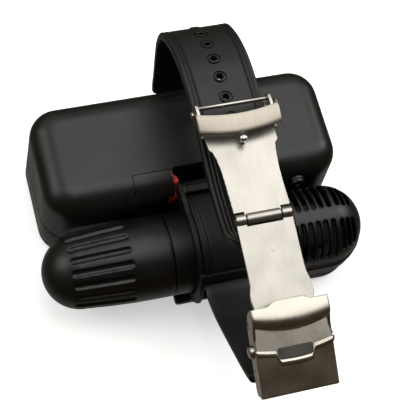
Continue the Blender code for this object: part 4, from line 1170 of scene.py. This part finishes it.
# ------------------------------------------------------------------ floor, light and camera
def studio():
    floor_mesh = bpy.data.meshes.new("floor")
    reach = 3.0
    floor_mesh.from_pydata([(-reach, -reach, 0), (reach, -reach, 0), (reach, reach, 0),
            (-reach, reach, 0)], [], [(0, 1, 2, 3)])
    floor = bpy.data.objects.new("floor", floor_mesh)
    floor.location.z = -0.0002
    bpy.context.collection.objects.link(floor)
    mat, tree, shader = new_finish("floor_white", (0.93, 0.93, 0.93), 0.9)
    shader.inputs["Specular IOR Level"].default_value = 0.1
    shader.inputs["Emission Color"].default_value = (1.0, 1.0, 1.0, 1.0)
    shader.inputs["Emission Strength"].default_value = 0.5
    floor_mesh.materials.append(mat)
    floor.visible_glossy = False
    floor.visible_diffuse = False

    world = bpy.data.worlds.new("studio")
    bpy.context.scene.world = world
    world.use_nodes = True
    tree = world.node_tree
    background = tree.nodes["Background"]
    coords = node(tree, "ShaderNodeTexCoord")
    split = node(tree, "ShaderNodeSeparateXYZ")
    tree.links.new(coords.outputs["Generated"], split.inputs[0])
    ahead = spread(tree, split.outputs["Y"], 0.0, 1.0, -0.50, 0.05)
    above = spread(tree, split.outputs["Z"], 0.0, 1.0, 0.0, 0.70)
    lit = node(tree, "ShaderNodeMath", operation="MULTIPLY")
    tree.links.new(ahead, lit.inputs[0])
    tree.links.new(above, lit.inputs[1])
    below = spread(tree, split.outputs["Z"], 1.0, 0.0, -0.80, -0.45)
    room = between(tree, lit.outputs[0], (0.075, 0.048, 0.024), (1.0, 0.99, 0.97))
    lower = node(tree, "ShaderNodeMix", data_type="RGBA")
    lower.inputs["B"].default_value = (0.34, 0.33, 0.31, 1.0)
    tree.links.new(room, lower.inputs["A"])
    tree.links.new(below, lower.inputs["Factor"])
    tree.links.new(lower.outputs["Result"], background.inputs["Color"])
    background.inputs["Strength"].default_value = 0.75

    centre = (Vector(cad_box[0]) + Vector(cad_box[1])) / 2
    lights = [("key", (0.36, 0.24, 1.50), 1.45, 13.0, (1.0, 0.99, 0.96)),
            ("fill", (-1.10, 0.45, 0.80), 0.8, 5.0, (1.0, 0.98, 0.95)),
            ("side", (1.10, 0.30, 0.70), 0.5, 4.0, (1.0, 1.0, 1.0))]
    for name, place, size, power, colour in lights:
        data = bpy.data.lights.new(name, "AREA")
        data.size = size
        data.energy = power
        data.color = colour
        lamp = bpy.data.objects.new(name, data)
        lamp.location = centre + Vector(place)
        lamp.rotation_euler = (-Vector(place)).to_track_quat("-Z", "Y").to_euler()
        bpy.context.collection.objects.link(lamp)


def camera():
    """The camera stands over the cap end of the clasp side and is rolled a little."""
    azimuth, elevation, roll = radians(-122.0142), radians(64.0000), radians(18.9901)
    turn = Matrix.Rotation(azimuth + pi / 2, 4, "Z") @ Matrix.Rotation(pi / 2 - elevation, 4, "X")
    turn = turn @ Matrix.Rotation(roll, 4, "Z")
    data = bpy.data.cameras.new("camera")
    data.sensor_width, data.lens = 36.0, 114.72
    data.clip_start, data.clip_end = 0.01, 20.0
    cam = bpy.data.objects.new("camera", data)
    cam.matrix_world = Matrix.Translation(MIDDLE + Vector((-105.52, -198.31, 447.07)) * MM) @ turn
    bpy.context.collection.objects.link(cam)
    bpy.context.scene.camera = cam
    bpy.context.scene.view_settings.view_transform = "Standard"


camera()
housing_back()
housing_front()
case_screws()
control_keys()
battery_tube()
battery_cap()
sensor_cage()
cage_rim()
sensor_parts()
cable_gland()
strap_bracket()
release_catch()
upper_strap()
lower_strap()
blade_1()
blade_1_fittings()
safety_bail()
blade_2()
clasp_cover()
cover_fittings()
far_bar()
finish_cad_nodes()
studio()
